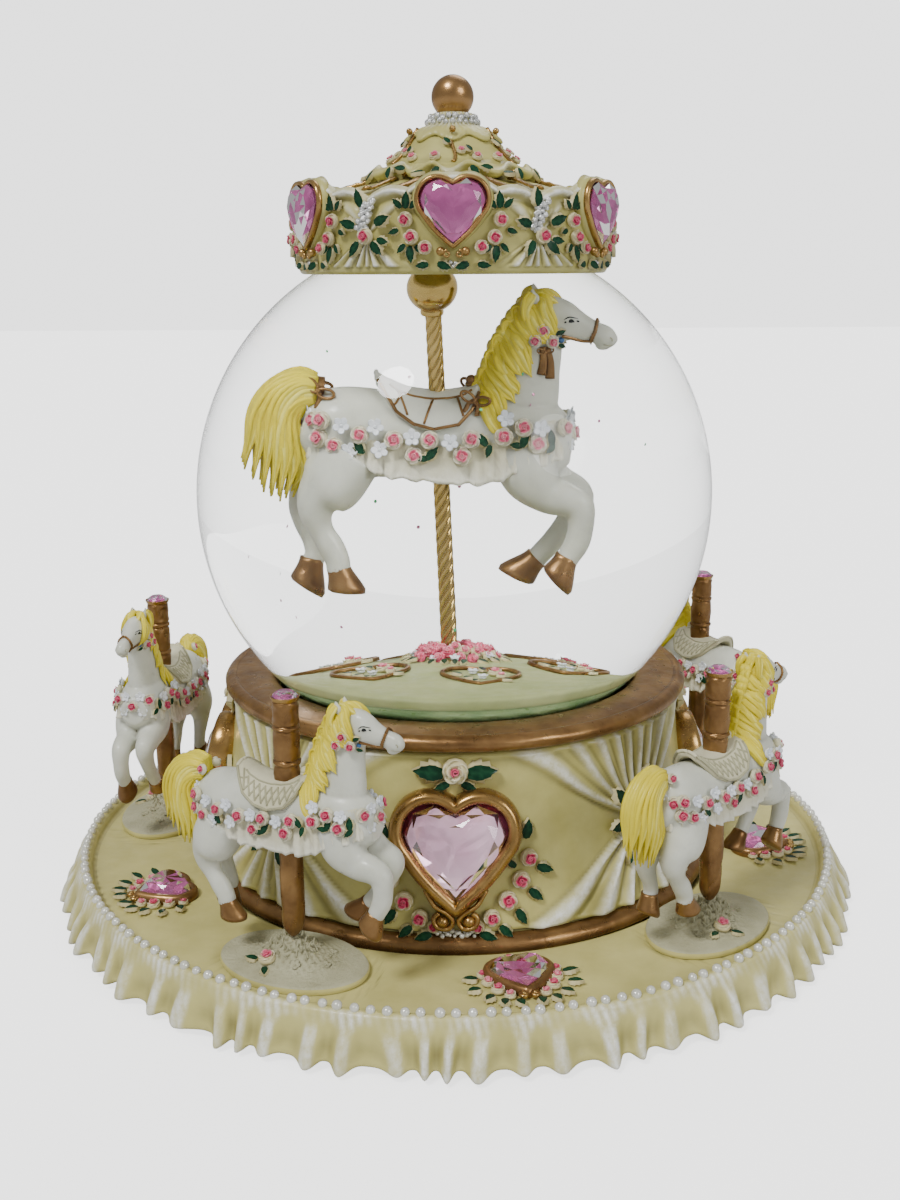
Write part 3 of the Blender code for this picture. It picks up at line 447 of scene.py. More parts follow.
def tube(path, radius, across=None, sides=12, side_axis=(0, 1, 0), outline=None, twist=0.0):
    """A closed tube round a path.  radius lies in the plane square to side_axis, and across along it.

    outline(ring share, angle) scales the section, and twist turns it along the way."""
    path = np.asarray(path, float)
    n = len(path)
    radius = np.broadcast_to(np.asarray(radius, float), (n,))
    across = radius if across is None else np.broadcast_to(np.asarray(across, float), (n,))
    along = unit(np.gradient(path, axis=0))
    side_axis = np.asarray(side_axis, float)
    side = unit(side_axis - along * (along @ side_axis)[:, None])
    upright = np.cross(along, side)
    angle = full_turn(sides)[None, :] + (twist * np.linspace(0, 1, n))[:, None]
    share = np.linspace(0, 1, n)[:, None]
    shape = outline(share, angle) if outline else 1.0
    u = (np.cos(angle) * shape * radius[:, None])[..., None] * upright[:, None, :]
    v = (np.sin(angle) * shape * across[:, None])[..., None] * side[:, None, :]
    rings = (path[:, None, :] + u + v).reshape(-1, 3)
    points = np.concatenate([rings, path[:1], path[-1:]])
    return points, [grid_faces(n, sides, wrap_columns=True), end_caps(n * sides, sides)]


def ball(radius, centre=(0, 0, 0), columns=12, rows=8):
    """A round ball, or an ellipsoid where radius has three values."""
    polar = np.linspace(0, math.pi, rows + 1)[1:-1]
    turn = full_turn(columns)
    sheet = np.stack([
        np.sin(polar)[:, None] * np.cos(turn)[None, :],
        np.sin(polar)[:, None] * np.sin(turn)[None, :],
        np.broadcast_to(np.cos(polar)[:, None], (rows - 1, columns)),
    ], -1).reshape(-1, 3)
    points = np.concatenate([sheet, [[0, 0, 1], [0, 0, -1]]]) * radius + np.asarray(centre, float)
    return points, [grid_faces(rows - 1, columns, wrap_columns=True), end_caps((rows - 1) * columns, columns)]


def turned(profile, columns, change=None):
    """A closed (radius, height) profile turned about Z.

    change(angle, radius, height) gives new radii and heights for the whole grid."""
    profile = np.asarray(profile, float)
    angle = full_turn(columns)[:, None]
    radius = np.broadcast_to(profile[None, :, 0], (columns, len(profile)))
    height = np.broadcast_to(profile[None, :, 1], (columns, len(profile)))
    if change:
        radius, height = change(angle, radius, height)
    points = around(radius, angle, height).reshape(-1, 3)
    return points, grid_faces(columns, len(profile), wrap_rows=True, wrap_columns=True)


def lathe(profile, columns, change=None):
    """A profile that starts and ends on the axis, turned about Z."""
    profile = np.asarray(profile, float)
    middle = profile[1:-1]
    angle = full_turn(columns)[None, :]
    radius = np.broadcast_to(middle[:, :1], (len(middle), columns))
    height = np.broadcast_to(middle[:, 1:], (len(middle), columns))
    if change:
        radius, height = change(angle, radius, height)
    rings = around(radius, angle, height).reshape(-1, 3)
    ends = [[0, 0, profile[0, 1]], [0, 0, profile[-1, 1]]]
    faces = [grid_faces(len(middle), columns, wrap_columns=True), end_caps(len(rings), columns)]
    return np.concatenate([rings, ends]), faces


def ball_profile(radius, height, count):
    """A half circle from the bottom to the top of a ball on the main axis."""
    return [(radius * math.sin(t), height - radius * math.cos(t)) for t in np.linspace(0, math.pi, count)]


def rounded(points, steps=4):
    """A profile with extra points, on a smooth curve through the given ones."""
    return spline(points, (len(points) - 1) * steps + 1)


# ---------------------------------------------------------------- places

def frame_at(point, normal, up=(0, 0, 1), spin=0.0):
    """A matrix whose X runs along a surface, Y up it and Z out of it, turned by spin about Z."""
    z = unit(normal)
    up = np.asarray(up, float)
    if abs(float(up @ z)) > 0.97:
        up = np.array([0.0, 1.0, 0.0])
    x = unit(np.cross(up, z))
    y = np.cross(z, x)
    c, s = math.cos(spin), math.sin(spin)
    made = np.eye(4)
    made[:3, 0] = x * c + y * s
    made[:3, 1] = y * c - x * s
    made[:3, 2] = z
    made[:3, 3] = point
    return made


def wall_frame(angle, height, radius, slope=0.0, lift=0.0, spin=0.0):
    """The frame of a place on a round wall that leans in by slope."""
    out = np.array([math.sin(angle) * math.cos(slope), -math.cos(angle) * math.cos(slope), math.sin(slope)])
    point = np.array([radius * math.sin(angle), -radius * math.cos(angle), height]) + out * lift
    return frame_at(point, out, spin=spin)


def shifted(matrix, x=0.0, y=0.0, z=0.0, spin=0.0, tilt=0.0):
    """The frame moved along its own axes, then tilted about its X and turned about its Z."""
    made = matrix.copy()
    made[:3, 3] = matrix[:3, :3] @ [x, y, z] + matrix[:3, 3]
    turn = np.array(Matrix.Rotation(spin, 3, "Z") @ Matrix.Rotation(tilt, 3, "X"))
    made[:3, :3] = matrix[:3, :3] @ turn
    return made


def turn_z(angle, x=0.0, y=0.0, z=0.0):
    """A shift, then a turn about the main axis."""
    return np.array(Matrix.Rotation(angle, 4, "Z") @ Matrix.Translation(Vector((x, y, z))))


def platform_seat(k, height):
    """The place of horse k on the platform.  k + 0.5 is half way to the next one."""
    return turn_z(FIRST_HORSE_ANGLE + HORSE_STEP * k, 0, -HORSE_CIRCLE_R, height)


# ---------------------------------------------------------------- small ornaments, at unit size

def petal_part(width, length, cup, thickness, paint, sides=10):
    """A cupped petal: two rounded skins that share a rim.  Its base is at the origin, its tip at +Y."""
    turn = full_turn(sides)
    rim = np.stack([width * np.cos(turn), length * np.sin(turn)], -1)
    points, tones = [], []
    for side, share in ((1, 0.0), (1, 0.55), (1, 1.0), (-1, 0.0), (-1, 0.55)):
        ring = rim * share if share else np.zeros((1, 2))
        height = cup * share ** 2 + side * thickness * (1 - share ** 2)
        points.append(np.concatenate([ring, np.full((len(ring), 1), height)], 1))
        tones.append(np.full(len(ring), share if side == 1 else 0.2))
    points = np.concatenate(points) + [0, length, 0]
    n = sides
    top = [fan_faces(0, np.arange(1, 1 + n)), grid_faces(2, n, wrap_columns=True) + 1]
    under = grid_faces(2, n, wrap_columns=True)
    lookup = np.concatenate([np.arange(1 + n, 1 + 2 * n), np.arange(2 + 2 * n, 2 + 3 * n)])
    bottom = [lookup[under], fan_faces(1 + 2 * n, np.arange(2 + 2 * n, 2 + 3 * n))]
    return [(points, [*top, *bottom], paint, np.concatenate(tones) ** 3)]


def moved_part(part, matrix):
    return [(points @ matrix[:3, :3].T + matrix[:3, 3], faces, paint, tone)
            for points, faces, paint, tone in part]


def solid(mesh, paint):
    """A part made of one mesh in one finish."""
    return [(*mesh, paint, 0.0)]


def wire(path, radius, across, paint, sides=6):
    """A part made of one tube that lies flat in its own frame."""
    return solid(tube(path, radius, across, sides, side_axis=(0, 0, 1)), paint)


def rose_part(outer="petal", inner="rose", swirl="rose"):
    """A cast rose of radius 1: a mound, two whorls of petals and a swirled heart."""
    made = solid(ball((0.86, 0.86, 0.42), (0, 0, 0.08), 12, 6), outer)
    whorls = ((5, 0.30, 0.42, 0.32, 28, 0.10, outer, 0.14), (4, 0.14, 0.36, 0.29, 40, 0.34, inner, 0.10))
    for count, start, width, length, lift, height, paint, cup in whorls:
        for k in range(count):
            turn = Matrix.Rotation(2 * math.pi * k / count + 0.4 * start, 4, "Z")
            lean = Matrix.Translation((0, start, height)) @ Matrix.Rotation(math.radians(lift), 4, "X")
            roll = Matrix.Rotation(math.radians(12), 4, "Y")
            made += moved_part(petal_part(width, length, cup, 0.07, paint), np.array(turn @ lean @ roll))
    turns = np.linspace(0.0, 1.7, 22)
    angle = 2 * math.pi * turns
    reach = 0.06 + 0.13 * turns
    path = np.stack([reach * np.cos(angle), reach * np.sin(angle), 0.68 - 0.06 * turns], -1)
    points, faces = tube(path, np.linspace(0.07, 0.055, 22), np.full(22, 0.16), 6, side_axis=(0, 0, 1))
    made.append((points, faces, swirl, np.where(points[:, 2] > 0.72, 0.8, 0.0)))
    return made


def leaf_part():
    """A pointed leaf of length 1 along +Y: a cream edge round a green, veined middle."""
    rows, columns = 9, 7
    along = np.linspace(0, 1, rows)[:, None]
    across = np.linspace(-1, 1, columns)[None, :]
    width = 0.36 * np.sin(math.pi * np.clip(along, 0, 1) ** 0.8) ** 0.75 + 0.015
    saw = 1 + 0.13 * np.cos(np.arange(rows) * math.pi)[:, None] * (np.abs(across) > 0.9)
    x = across * width * saw
    y = along + 0.06 * np.abs(across) * np.cos(np.arange(rows) * math.pi)[:, None]
    z = 0.10 + 0.07 * np.abs(across) - 0.10 * across ** 2 * (1 - along) + 0.05 * np.sin(math.pi * along)
    z = np.where(np.abs(across) > 0.9, -0.06, z)
    sheet = np.stack(np.broadcast_arrays(x, y, z), -1).reshape(-1, 3)
    under = sheet.copy()
    under[:, 2] = -0.08
    ribs = (np.arange(rows)[:, None] % 3 == 1) & (np.abs(across) < 0.5)
    vein = np.where((np.abs(across) < 0.1) | ribs, 0.55, 0.0)
    tone = np.broadcast_to(vein, (rows, columns)).reshape(-1)
    faces = grid_faces(rows, columns)
    column = np.arange(len(faces)) % (columns - 1)
    edge = (column == 0) | (column == columns - 2)
    rim = np.concatenate([
        np.arange(columns), np.arange(2 * columns - 1, rows * columns, columns),
        np.arange(rows * columns - 2, (rows - 1) * columns - 1, -1),
        np.arange((rows - 2) * columns, 0, -columns),
    ])
    n = rows * columns
    skirt = np.stack([rim, np.roll(rim, -1), np.roll(rim, -1) + n, rim + n], -1)
    points = np.concatenate([sheet, under])
    tones = np.concatenate([tone, np.zeros(n)])
    return [
        (points, [faces[~edge]], "leaf", tones),
        (points, [faces[edge], skirt, faces[:, ::-1] + n], "petal", np.zeros(2 * n)),
    ]


def flower_part(paint):
    """A small open flower of radius 1, with five petals."""
    made = []
    for k in range(5):
        turn = Matrix.Rotation(2 * math.pi * k / 5, 4, "Z")
        lean = Matrix.Translation((0, 0.1, 0.12)) @ Matrix.Rotation(math.radians(18), 4, "X")
        made += moved_part(petal_part(0.36, 0.42, 0.12, 0.08, paint, 8), np.array(turn @ lean))
    made.append((*ball((0.2, 0.2, 0.16), (0, 0, 0.28), 8, 5), paint, 0.6))
    return made + solid(ball((0.6, 0.6, 0.22), (0, 0, 0.02), 10, 5), paint)


def bead_part(paint, columns=10, rows=7):
    """A bead of radius 1."""
    return solid(ball(1.0, (0, 0, 0), columns, rows), paint)


def bow_part(paint):
    """A ribbon bow of half-width 1: two loops, a knot and two tails."""
    made = []
    for side in (-1, 1):
        turn = np.linspace(0, 2 * math.pi, 18)
        loop = np.stack([side * (0.52 - 0.52 * np.cos(turn)), 0.30 * np.sin(turn) + 0.12 * (1 - np.cos(turn)),
                         0.16 + 0.10 * np.sin(turn / 2)], -1)
        made += wire(loop, 0.10, 0.2, paint)
        s = np.linspace(0, 1, 8)
        tail = np.stack([side * (0.1 + 0.45 * s + 0.08 * np.sin(5 * s)), -0.95 * s, 0.14 + 0 * s], -1)
        made += wire(tail, 0.13 + 0.05 * s, 0.09, paint)
    return made + solid(ball((0.2, 0.22, 0.22), (0, 0, 0.18), 10, 6), paint)


# ---------------------------------------------------------------- hearts

def heart_curve(width, height, count):
    """A broad heart about its middle, tip at -Y: two round lobes and nearly straight sides."""
    lobe = 0.29 * width
    cx, cy = width / 2 - lobe, height / 2 - lobe
    tip = np.array([0.0, -height / 2])
    start = math.pi - math.acos(cx / lobe)
    reach = np.array([cx, cy]) - tip
    distance = float(np.hypot(*reach))
    touch = math.atan2(-reach[1], -reach[0]) + math.acos(lobe / distance)
    turn = np.linspace(start, touch - 2 * math.pi if touch > start else touch, 40)
    arc = np.stack([cx + lobe * np.cos(turn), cy + lobe * np.sin(turn)], -1)
    s = np.linspace(0, 1, 20)[1:, None]
    side = arc[-1] + (tip - arc[-1]) * s
    side[:, 0] += 0.035 * width * np.sin(math.pi * s[:, 0])
    right = np.concatenate([arc, side])
    left = right[-2:0:-1] * [-1, 1]
    outline = np.concatenate([right, left])
    closed = np.concatenate([outline, outline[:1]])
    steps = np.concatenate([[0], np.cumsum(np.linalg.norm(np.diff(closed, axis=0), axis=1))])
    where = np.linspace(0, steps[-1], count, endpoint=False)
    return np.stack([np.interp(where, steps, closed[:, i]) for i in (0, 1)], -1)


def heart_slab(width, height, low, high, count):
    """A flat heart between two heights."""
    outline = heart_curve(width, height, count)
    rings = [np.concatenate([outline, np.full((count, 1), z)], 1) for z in (low, high)]
    points = np.concatenate([*rings, [[0, 0, low], [0, 0, high]]])
    return points, [grid_faces(2, count, wrap_columns=True), end_caps(2 * count, count)]


def gem_corners(width, height):
    """The corners of a cut heart's outline, clockwise from its cleft."""
    outline = heart_curve(width, height, 160)
    return outline[[0, 12, 24, 36, 48, 62, 80, 98, 112, 124, 136, 148]]


def gem_part(width, height, thickness, glass, foil, domed=False):
    """A cut heart: a clear crown of facets over a foiled pavilion.  Its base is at z = 0."""
    corners = gem_corners(width, height)
    n = len(corners)
    half = (corners + np.roll(corners, -1, 0)) / 2
    centre = np.array([0.0, 0.04 * height])
    girdle = 0.32 * thickness
    star, table, peak = (0.72, 0.45, 1.03) if domed else (0.74, 0.62, 1.0)
    rings = [
        (corners * 0.97, 0.0),
        (corners, girdle),
        (centre + (half - centre) * 0.90, 0.66 * thickness),
        (centre + (corners - centre) * star, 0.88 * thickness),
        (centre + (half - centre) * table, thickness),
    ]
    points = np.concatenate([np.concatenate([ring, np.full((n, 1), z)], 1) for ring, z in rings])
    blocks = [grid_faces(2, n, wrap_columns=True)]
    for low in (1, 2, 3):
        a, b = low * n + np.arange(n), (low + 1) * n + np.arange(n)
        a_next, b_next = np.roll(a, -1), np.roll(b, -1)
        if low == 2:
            blocks += [np.stack([a, a_next, b_next], -1), np.stack([a, b_next, b], -1)]
        else:
            blocks += [np.stack([a, a_next, b], -1), np.stack([a_next, b_next, b], -1)]
    top = len(points)
    points = np.concatenate([points, [[*centre, thickness * peak], [*centre, 0.0]]])
    blocks.append(fan_faces(top, np.arange(4 * n, 5 * n)))
    blocks.append(fan_faces(top + 1, np.arange(n)))
    crown = (points, blocks, glass, 0.0)
    floor = 0.06 * thickness
    rings = [
        (corners * 0.93, girdle * 0.9),
        (centre + (half - centre) * 0.55, girdle * 0.45),
        (centre + (corners - centre) * 0.24, floor * 1.5),
    ]
    inner = [np.concatenate([ring, np.full((n, 1), z)], 1) for ring, z in rings]
    inner = np.concatenate([*inner, [[*centre, floor]]])
    a, b, c = np.arange(n), n + np.arange(n), 2 * n + np.arange(n)
    a_next, b_next, c_next = np.roll(a, -1), np.roll(b, -1), np.roll(c, -1)
    pavilion = [
        np.stack([a, a_next, b], -1), np.stack([a_next, b_next, b], -1),
        np.stack([b, b_next, c_next], -1), np.stack([b, c_next, c], -1),
        fan_faces(3 * n, c),
    ]
    back = inner.copy()
    back[:, 2] = 0.02 * thickness
    closed = [*pavilion, *[block[:, ::-1] + len(inner) for block in pavilion],
              np.stack([a, a_next, a_next + len(inner), a + len(inner)], -1)]
    return [crown, (np.concatenate([inner, back]), closed, foil, 0.0)]


def add_flat(shape, part, matrix):
    """Adds a part with flat facets."""
    for points, faces, paint, tone in part:
        moved = points @ matrix[:3, :3].T + matrix[:3, 3]
        for block in faces:
            # every facet gets its own corners, so that it shades flat
            own = np.arange(block.size).reshape(block.shape)
            shape.add(moved[block.ravel()], [own], paint, tone, smooth=False)


def swept_heart(width, height, section, count):
    """A moulding whose (outwards, up) section runs round a heart's outline."""
    outline = heart_curve(width, height, count)
    ahead = np.roll(outline, -1, 0) - np.roll(outline, 1, 0)
    out = unit(np.stack([ahead[:, 1], -ahead[:, 0]], -1))
    if float((out * outline).sum()) < 0:
        out = -out
    section = np.asarray(section, float)
    flat = outline[:, None, :] + out[:, None, :] * section[None, :, :1]
    points = np.concatenate([flat, np.broadcast_to(section[None, :, 1:], (count, len(section), 1))], -1)
    # the two arms of the outline may not cross at the cleft
    x = points[..., 0]
    home = outline[:, None, 0]
    kept = np.where(home > 0, np.maximum(x, 0.0), np.minimum(x, 0.0))
    points[..., 0] = np.where(np.abs(home) > 1e-6, kept, x)
    return points.reshape(-1, 3), [grid_faces(count, len(section), wrap_rows=True, wrap_columns=True)]


def scroll_path(side, reach):
    """A curl that starts at the origin, runs out to one side and winds in for 1.1 turns."""
    s = np.linspace(0, 1, 20)
    angle = math.pi / 2 + side * -2 * math.pi * 1.1 * s
    radius = reach * (1 - 0.72 * s)
    return np.stack([radius * np.cos(angle), radius * np.sin(angle) - reach, 0 * s], -1)


# ---------------------------------------------------------------- pleats and folds

def pleats(dx, dz, count, spread, bend, reach, seed):
    """A fan of gathered cloth that opens upwards from a knot at the origin.

    dx and dz are millimetres across and above the knot.  Returns a height from 0 to 1, the share
    of ridge in it, and how far inside the fan each point is."""
    distance = np.hypot(dx, dz)
    angle = np.arctan2(dx, dz) + bend * np.arctan2(dx, dz) * smooth_step(distance, 0.0, reach * 1.6)
    inside = smooth_step(spread - np.abs(angle), 0.0, 0.07) * (dz > -0.2)
    wobble = 0.35 * np.sin(5 * angle + seed) + 0.25 * np.sin(11 * angle + 2 * seed)
    wave = 0.5 + 0.5 * np.cos(count * angle + wobble + 0.6 * np.sin(distance * 0.25 + seed + 3 * angle))
    fine = 0.5 + 0.5 * np.cos(2.7 * count * angle + seed + 1.3 * wobble)
    height = (0.82 * wave ** 1.3 + 0.18 * fine) * smooth_step(distance, 0.4, 0.35 * reach)
    return height * inside, wave ** 3 * inside, inside


def wrapped(angle, centre):
    """Difference of two angles, from -pi to pi."""
    return (angle - centre + math.pi) % (2 * math.pi) - math.pi


# ---------------------------------------------------------------- platform

BEAD_COUNT = 176
FOLD_COUNT = 80


def fold_wave(angle, height):
    """The ruffle's gathers: 1 on a narrow raised fold and 0 in the broad hollow between two.
    The folds are unevenly spaced, and lean this way and that as they go down."""
    lean = 0.9 * np.sin(17 * angle + 0.8) + 0.5 * np.sin(31 * angle + 2.0)
    phase = FOLD_COUNT * angle + 1.6 * np.sin(5 * angle + 0.4) + 1.1 * np.sin(13 * angle)
    phase = phase + 0.7 * np.sin(29 * angle + 1) + lean * smooth_step(11.0 - height, 0.0, 9.0)
    return (0.5 + 0.5 * np.cos(phase)) ** 1.5


def make_platform():
    """The deck and its ruffle, with a shallow seat round each disc, and the pearl edge."""
    deck = [(r, DECK_Z) for r in np.linspace(87.6, DECK_INNER_R + 0.5, 12)]
    skirt = rounded([(93.6, SKIRT_BOTTOM + 0.1), (94.6, SKIRT_BOTTOM - 0.15), (95.5, SKIRT_BOTTOM + 0.35),
                     (95.1, 3.2), (94.1, 6.0), (92.8, 8.6), (91.9, 10.4), (91.4, 11.4), (90.3, 11.8),
                     (89.2, 11.2), (88.6, 10.0), (87.9, DECK_Z)], 3)
    under = [(53.3, 4.9), (64.8, 4.9), (67.0, 6.9), (88.0, 6.9), (91.2, 4.8), (92.8, 2.6)]
    inner = [(DECK_INNER_R + 0.15, DECK_Z - 0.08), (DECK_INNER_R, DECK_Z - 0.4), (DECK_INNER_R - 0.3, 7.6),
             (DECK_INNER_R - 0.6, 7.3), (53.3, 7.3)]
    profile = np.array([*under, *skirt, *deck, *inner])
    tones = {}

    def change(angle, radius, height):
        wave = fold_wave(angle, height)
        share = smooth_step(radius, 90.6, 95.0) * smooth_step(11.6 - height, 0.0, 7.0)
        size = 1.0 + 0.25 * np.sin(23 * angle + 1.1)
        moved = radius + share * (2.1 * size * wave - 1.45)
        drop = height + share * (1.0 - 1.0 * size * wave) * smooth_step(6.0 - height, 0.0, 5.0)
        patchy = 0.55 + 0.45 * np.sin(37 * angle + 3 * np.sin(6 * angle))
        comb = patchy * smooth_step(radius, 90.4, 91.4) * smooth_step(height, 9.0 - 3.6 * wave, 11.0)
        streak = 0.5 + 0.5 * np.cos(4 * FOLD_COUNT * angle + 4 * np.sin(7 * angle) + height)
        bright = 0.75 + 0.25 * np.sin(19 * angle + 2)
        ridge = smooth_step(wave, 0.5, 0.85) * smooth_step(share, 0.0, 0.5) * bright
        tone = np.maximum(ridge * (0.65 + 0.35 * streak), comb * (0.25 + 0.75 * streak))
        tones["all"] = np.clip(tone, 0, 1)
        moved = moved + 0.14 * np.maximum(comb, ridge) * streak
        for k in range(HORSE_COUNT):
            across = HORSE_CIRCLE_R * wrapped(angle, FIRST_HORSE_ANGLE + HORSE_STEP * k)
            rim = np.hypot((across - 1.2) / 17.4, (radius - HORSE_CIRCLE_R) / 12.2)
            groove = np.exp(-((rim - 1) / 0.018) ** 2) * (np.abs(height - DECK_Z) < 0.05)
            drop = drop - 0.22 * groove
        return moved, drop

    points, faces = turned(profile, SKIRT_COLUMNS, change)
    shape = Shape()
    shape.add(points, [faces], "deck", tones["all"].reshape(-1))
    shape.piece("platform_deck_and_ruffle", "platform", ["platform"])
    beads = Shape()
    bead = bead_part("pearl", 12, 8)
    for k in range(BEAD_COUNT):
        angle = 2 * math.pi * (k + 0.08 * math.sin(9.7 * k)) / BEAD_COUNT
        size = 1.0 + 0.07 * math.sin(4.1 * k)
        place = turn_z(angle, 0, -BEAD_R, 12.1 + 0.10 * math.sin(7.3 * k))
        beads.add_part(bead, place, size)
    beads.piece("platform_pearl_edge", "platform", ())


def make_platform_gems():
    """The deck's heart jewels, with their settings, roses and leaves."""
    gem = gem_part(12.2, 11.4, 3.3, "gem", "foil")
    rose, leaf, bead = rose_part(), leaf_part(), bead_part("gold")
    section = [(-0.95, 0.0), (-0.9, 1.5), (-0.5, 2.0), (0.1, 2.1), (0.7, 1.6), (0.95, 0.7), (1.0, -0.2),
               (0.0, -0.2)]
    roses = [(7.6, 2.2, 1.35), (7.0, -0.8, 1.6), (5.6, -3.9, 1.75), (3.6, -6.2, 1.45)]
    leaves = [(8.6, 1.0, -1.7), (8.8, -2.6, -2.1), (6.8, -5.4, -2.5), (4.8, -7.2, -2.9), (2.4, -7.8, -3.3)]
    for k in range(HORSE_COUNT):
        seat = platform_seat(k + 0.5, DECK_Z)
        jewel = Shape()
        add_flat(jewel, gem, shifted(seat, z=0.75))
        jewel.piece(f"deck_jewel_{k + 1}", "platform", [f"platform_gem_{k + 1}"])
        mount = Shape()
        mount.add_part(solid(swept_heart(13.0, 12.2, section, 72), "bronze"), seat)
        mount.add_part(solid(heart_slab(12.4, 11.6, 0.0, 0.7, 40), "plum"), seat)
        for side in (-1, 1):
            curl = scroll_path(side, 0.95) + [side * 0.15, 0, 0]
            mount.add_part(wire(curl, 0.34, 0.5, "gold"),
                           shifted(seat, side * 0.9, -6.2, 1.0))
            mount.add_part(bead, shifted(seat, side * 1.1, -7.1, 1.3), 0.5)
            for i, (x, y, size) in enumerate(roses):
                shade = {"petal": "petal", "rose": "pink"} if (i + k) % 2 else None
                place = shifted(seat, side * x, y, 0.45, spin=1.3 * i + k, tilt=0.1)
                mount.add_part(rose, place, size, shade)
            for x, y, turn in leaves:
                mount.add_part(leaf, shifted(seat, side * x, y, 0.45, spin=side * turn, tilt=0.12), 3.3)
        mount.piece(f"deck_jewel_setting_{k + 1}", "platform", ())


# ---------------------------------------------------------------- drum and rim ring

DRUM_HEARTS = 4
FAN_ANGLES = [math.pi / 4 + k * math.pi / 2 for k in range(DRUM_HEARTS)]
KNOT_Z = 29.8
# (height, radius) up the wall
DRUM_WALL = [(10.0, 59.4), (12.3, 58.8), (16.0, 57.6), (23.0, 55.9), (30.0, 54.6), (40.0, 52.9), (49.4, 51.6)]


def drum_radius(height):
    heights, radii = zip(*DRUM_WALL)
    return np.interp(height, heights, radii)


def drum_frame(angle, height, lift=0.0, spin=0.0):
    return wall_frame(angle, height, float(drum_radius(height)), DRUM_SLOPE * 0.75, lift, spin)


def make_drum():
    """The drum with a fan of draped cloth above and below each knot, and a bronze foot."""
    wall = [(float(drum_radius(z)), z) for z in np.linspace(12.6, DRUM_TOP - 1.0, 62)]
    foot = rounded([(60.0, DRUM_BOTTOM), (61.6, 8.2), (62.0, 9.2), (61.5, 10.6), (60.3, 11.5),
                    (59.3, 11.8)], 3)
    top = [(51.9, DRUM_TOP - 0.6), (51.4, DRUM_TOP), (42.4, DRUM_TOP), (42.4, 46.6), (48.2, 45.0),
           (51.8, 16.0), (51.8, 10.6), (38.6, 10.6), (38.6, DRUM_BOTTOM)]
    profile = np.array([*foot, (58.9, 12.1), *wall, *top])
    tones = {}

    def change(angle, radius, height):
        raised = np.zeros(np.broadcast_shapes(angle.shape, radius.shape))
        tone = np.zeros_like(raised)
        on_wall = (radius > 51.0) & (height > 12.4) & (height < DRUM_TOP - 0.4)
        for k, centre in enumerate(FAN_ANGLES):
            dx = wrapped(angle, centre) * 55.5
            dz = height - KNOT_Z
            up, up_ridge, up_in = pleats(dx, dz, 25.0, 1.13, 0.06, 17.0, 0.7 + k)
            down, down_ridge, down_in = pleats(dx, -dz, 17.0, 1.16, 0.10, 15.0, 2.1 + k)
            raised += 1.05 * up + 1.35 * down + 0.5 * np.maximum(up_in, down_in)
            tone += up_ridge * 0.8 + down_ridge
            panel = smooth_step(np.abs(dx), 4.0, 30.0) * (1 - up_in) * (1 - down_in)
            raised += 0.25 * panel
        tones["all"] = np.where(on_wall, np.clip(tone, 0, 1), 0.0)
        return radius + np.where(on_wall, raised, 0.0), height

    points, faces = turned(profile, DRUM_COLUMNS, change)
    row = np.arange(len(faces)) % len(profile)
    is_foot = (row < len(foot) - 1) | (row == len(profile) - 1)
    shape = Shape()
    shape.add(points, [faces[~is_foot]], "cream", tones["all"].reshape(-1))
    shape.faces.append((faces[is_foot], "bronze", True))
    shape.piece("drum_draped_wall", "root", ["drum"])
    add_drum_hearts()
    add_drum_knots()


def garland(shape, place, roses, leaves, rose, leaf):
    """Roses and leaves beside a heart, the same on both sides.  place(x, z, lift) gives a frame."""
    for side in (-1, 1):
        for i, (x, z, size) in enumerate(roses):
            seat = place(side * x, z, 0.25 * size)
            shape.add_part(rose, shifted(seat, spin=1.1 * i + side, tilt=0.12 * (-1) ** i), size)
        for i, (x, z, size, turn) in enumerate(leaves):
            seat = place(side * x, z, 0.35)
            shape.add_part(leaf, shifted(seat, spin=side * turn, tilt=0.10), size)


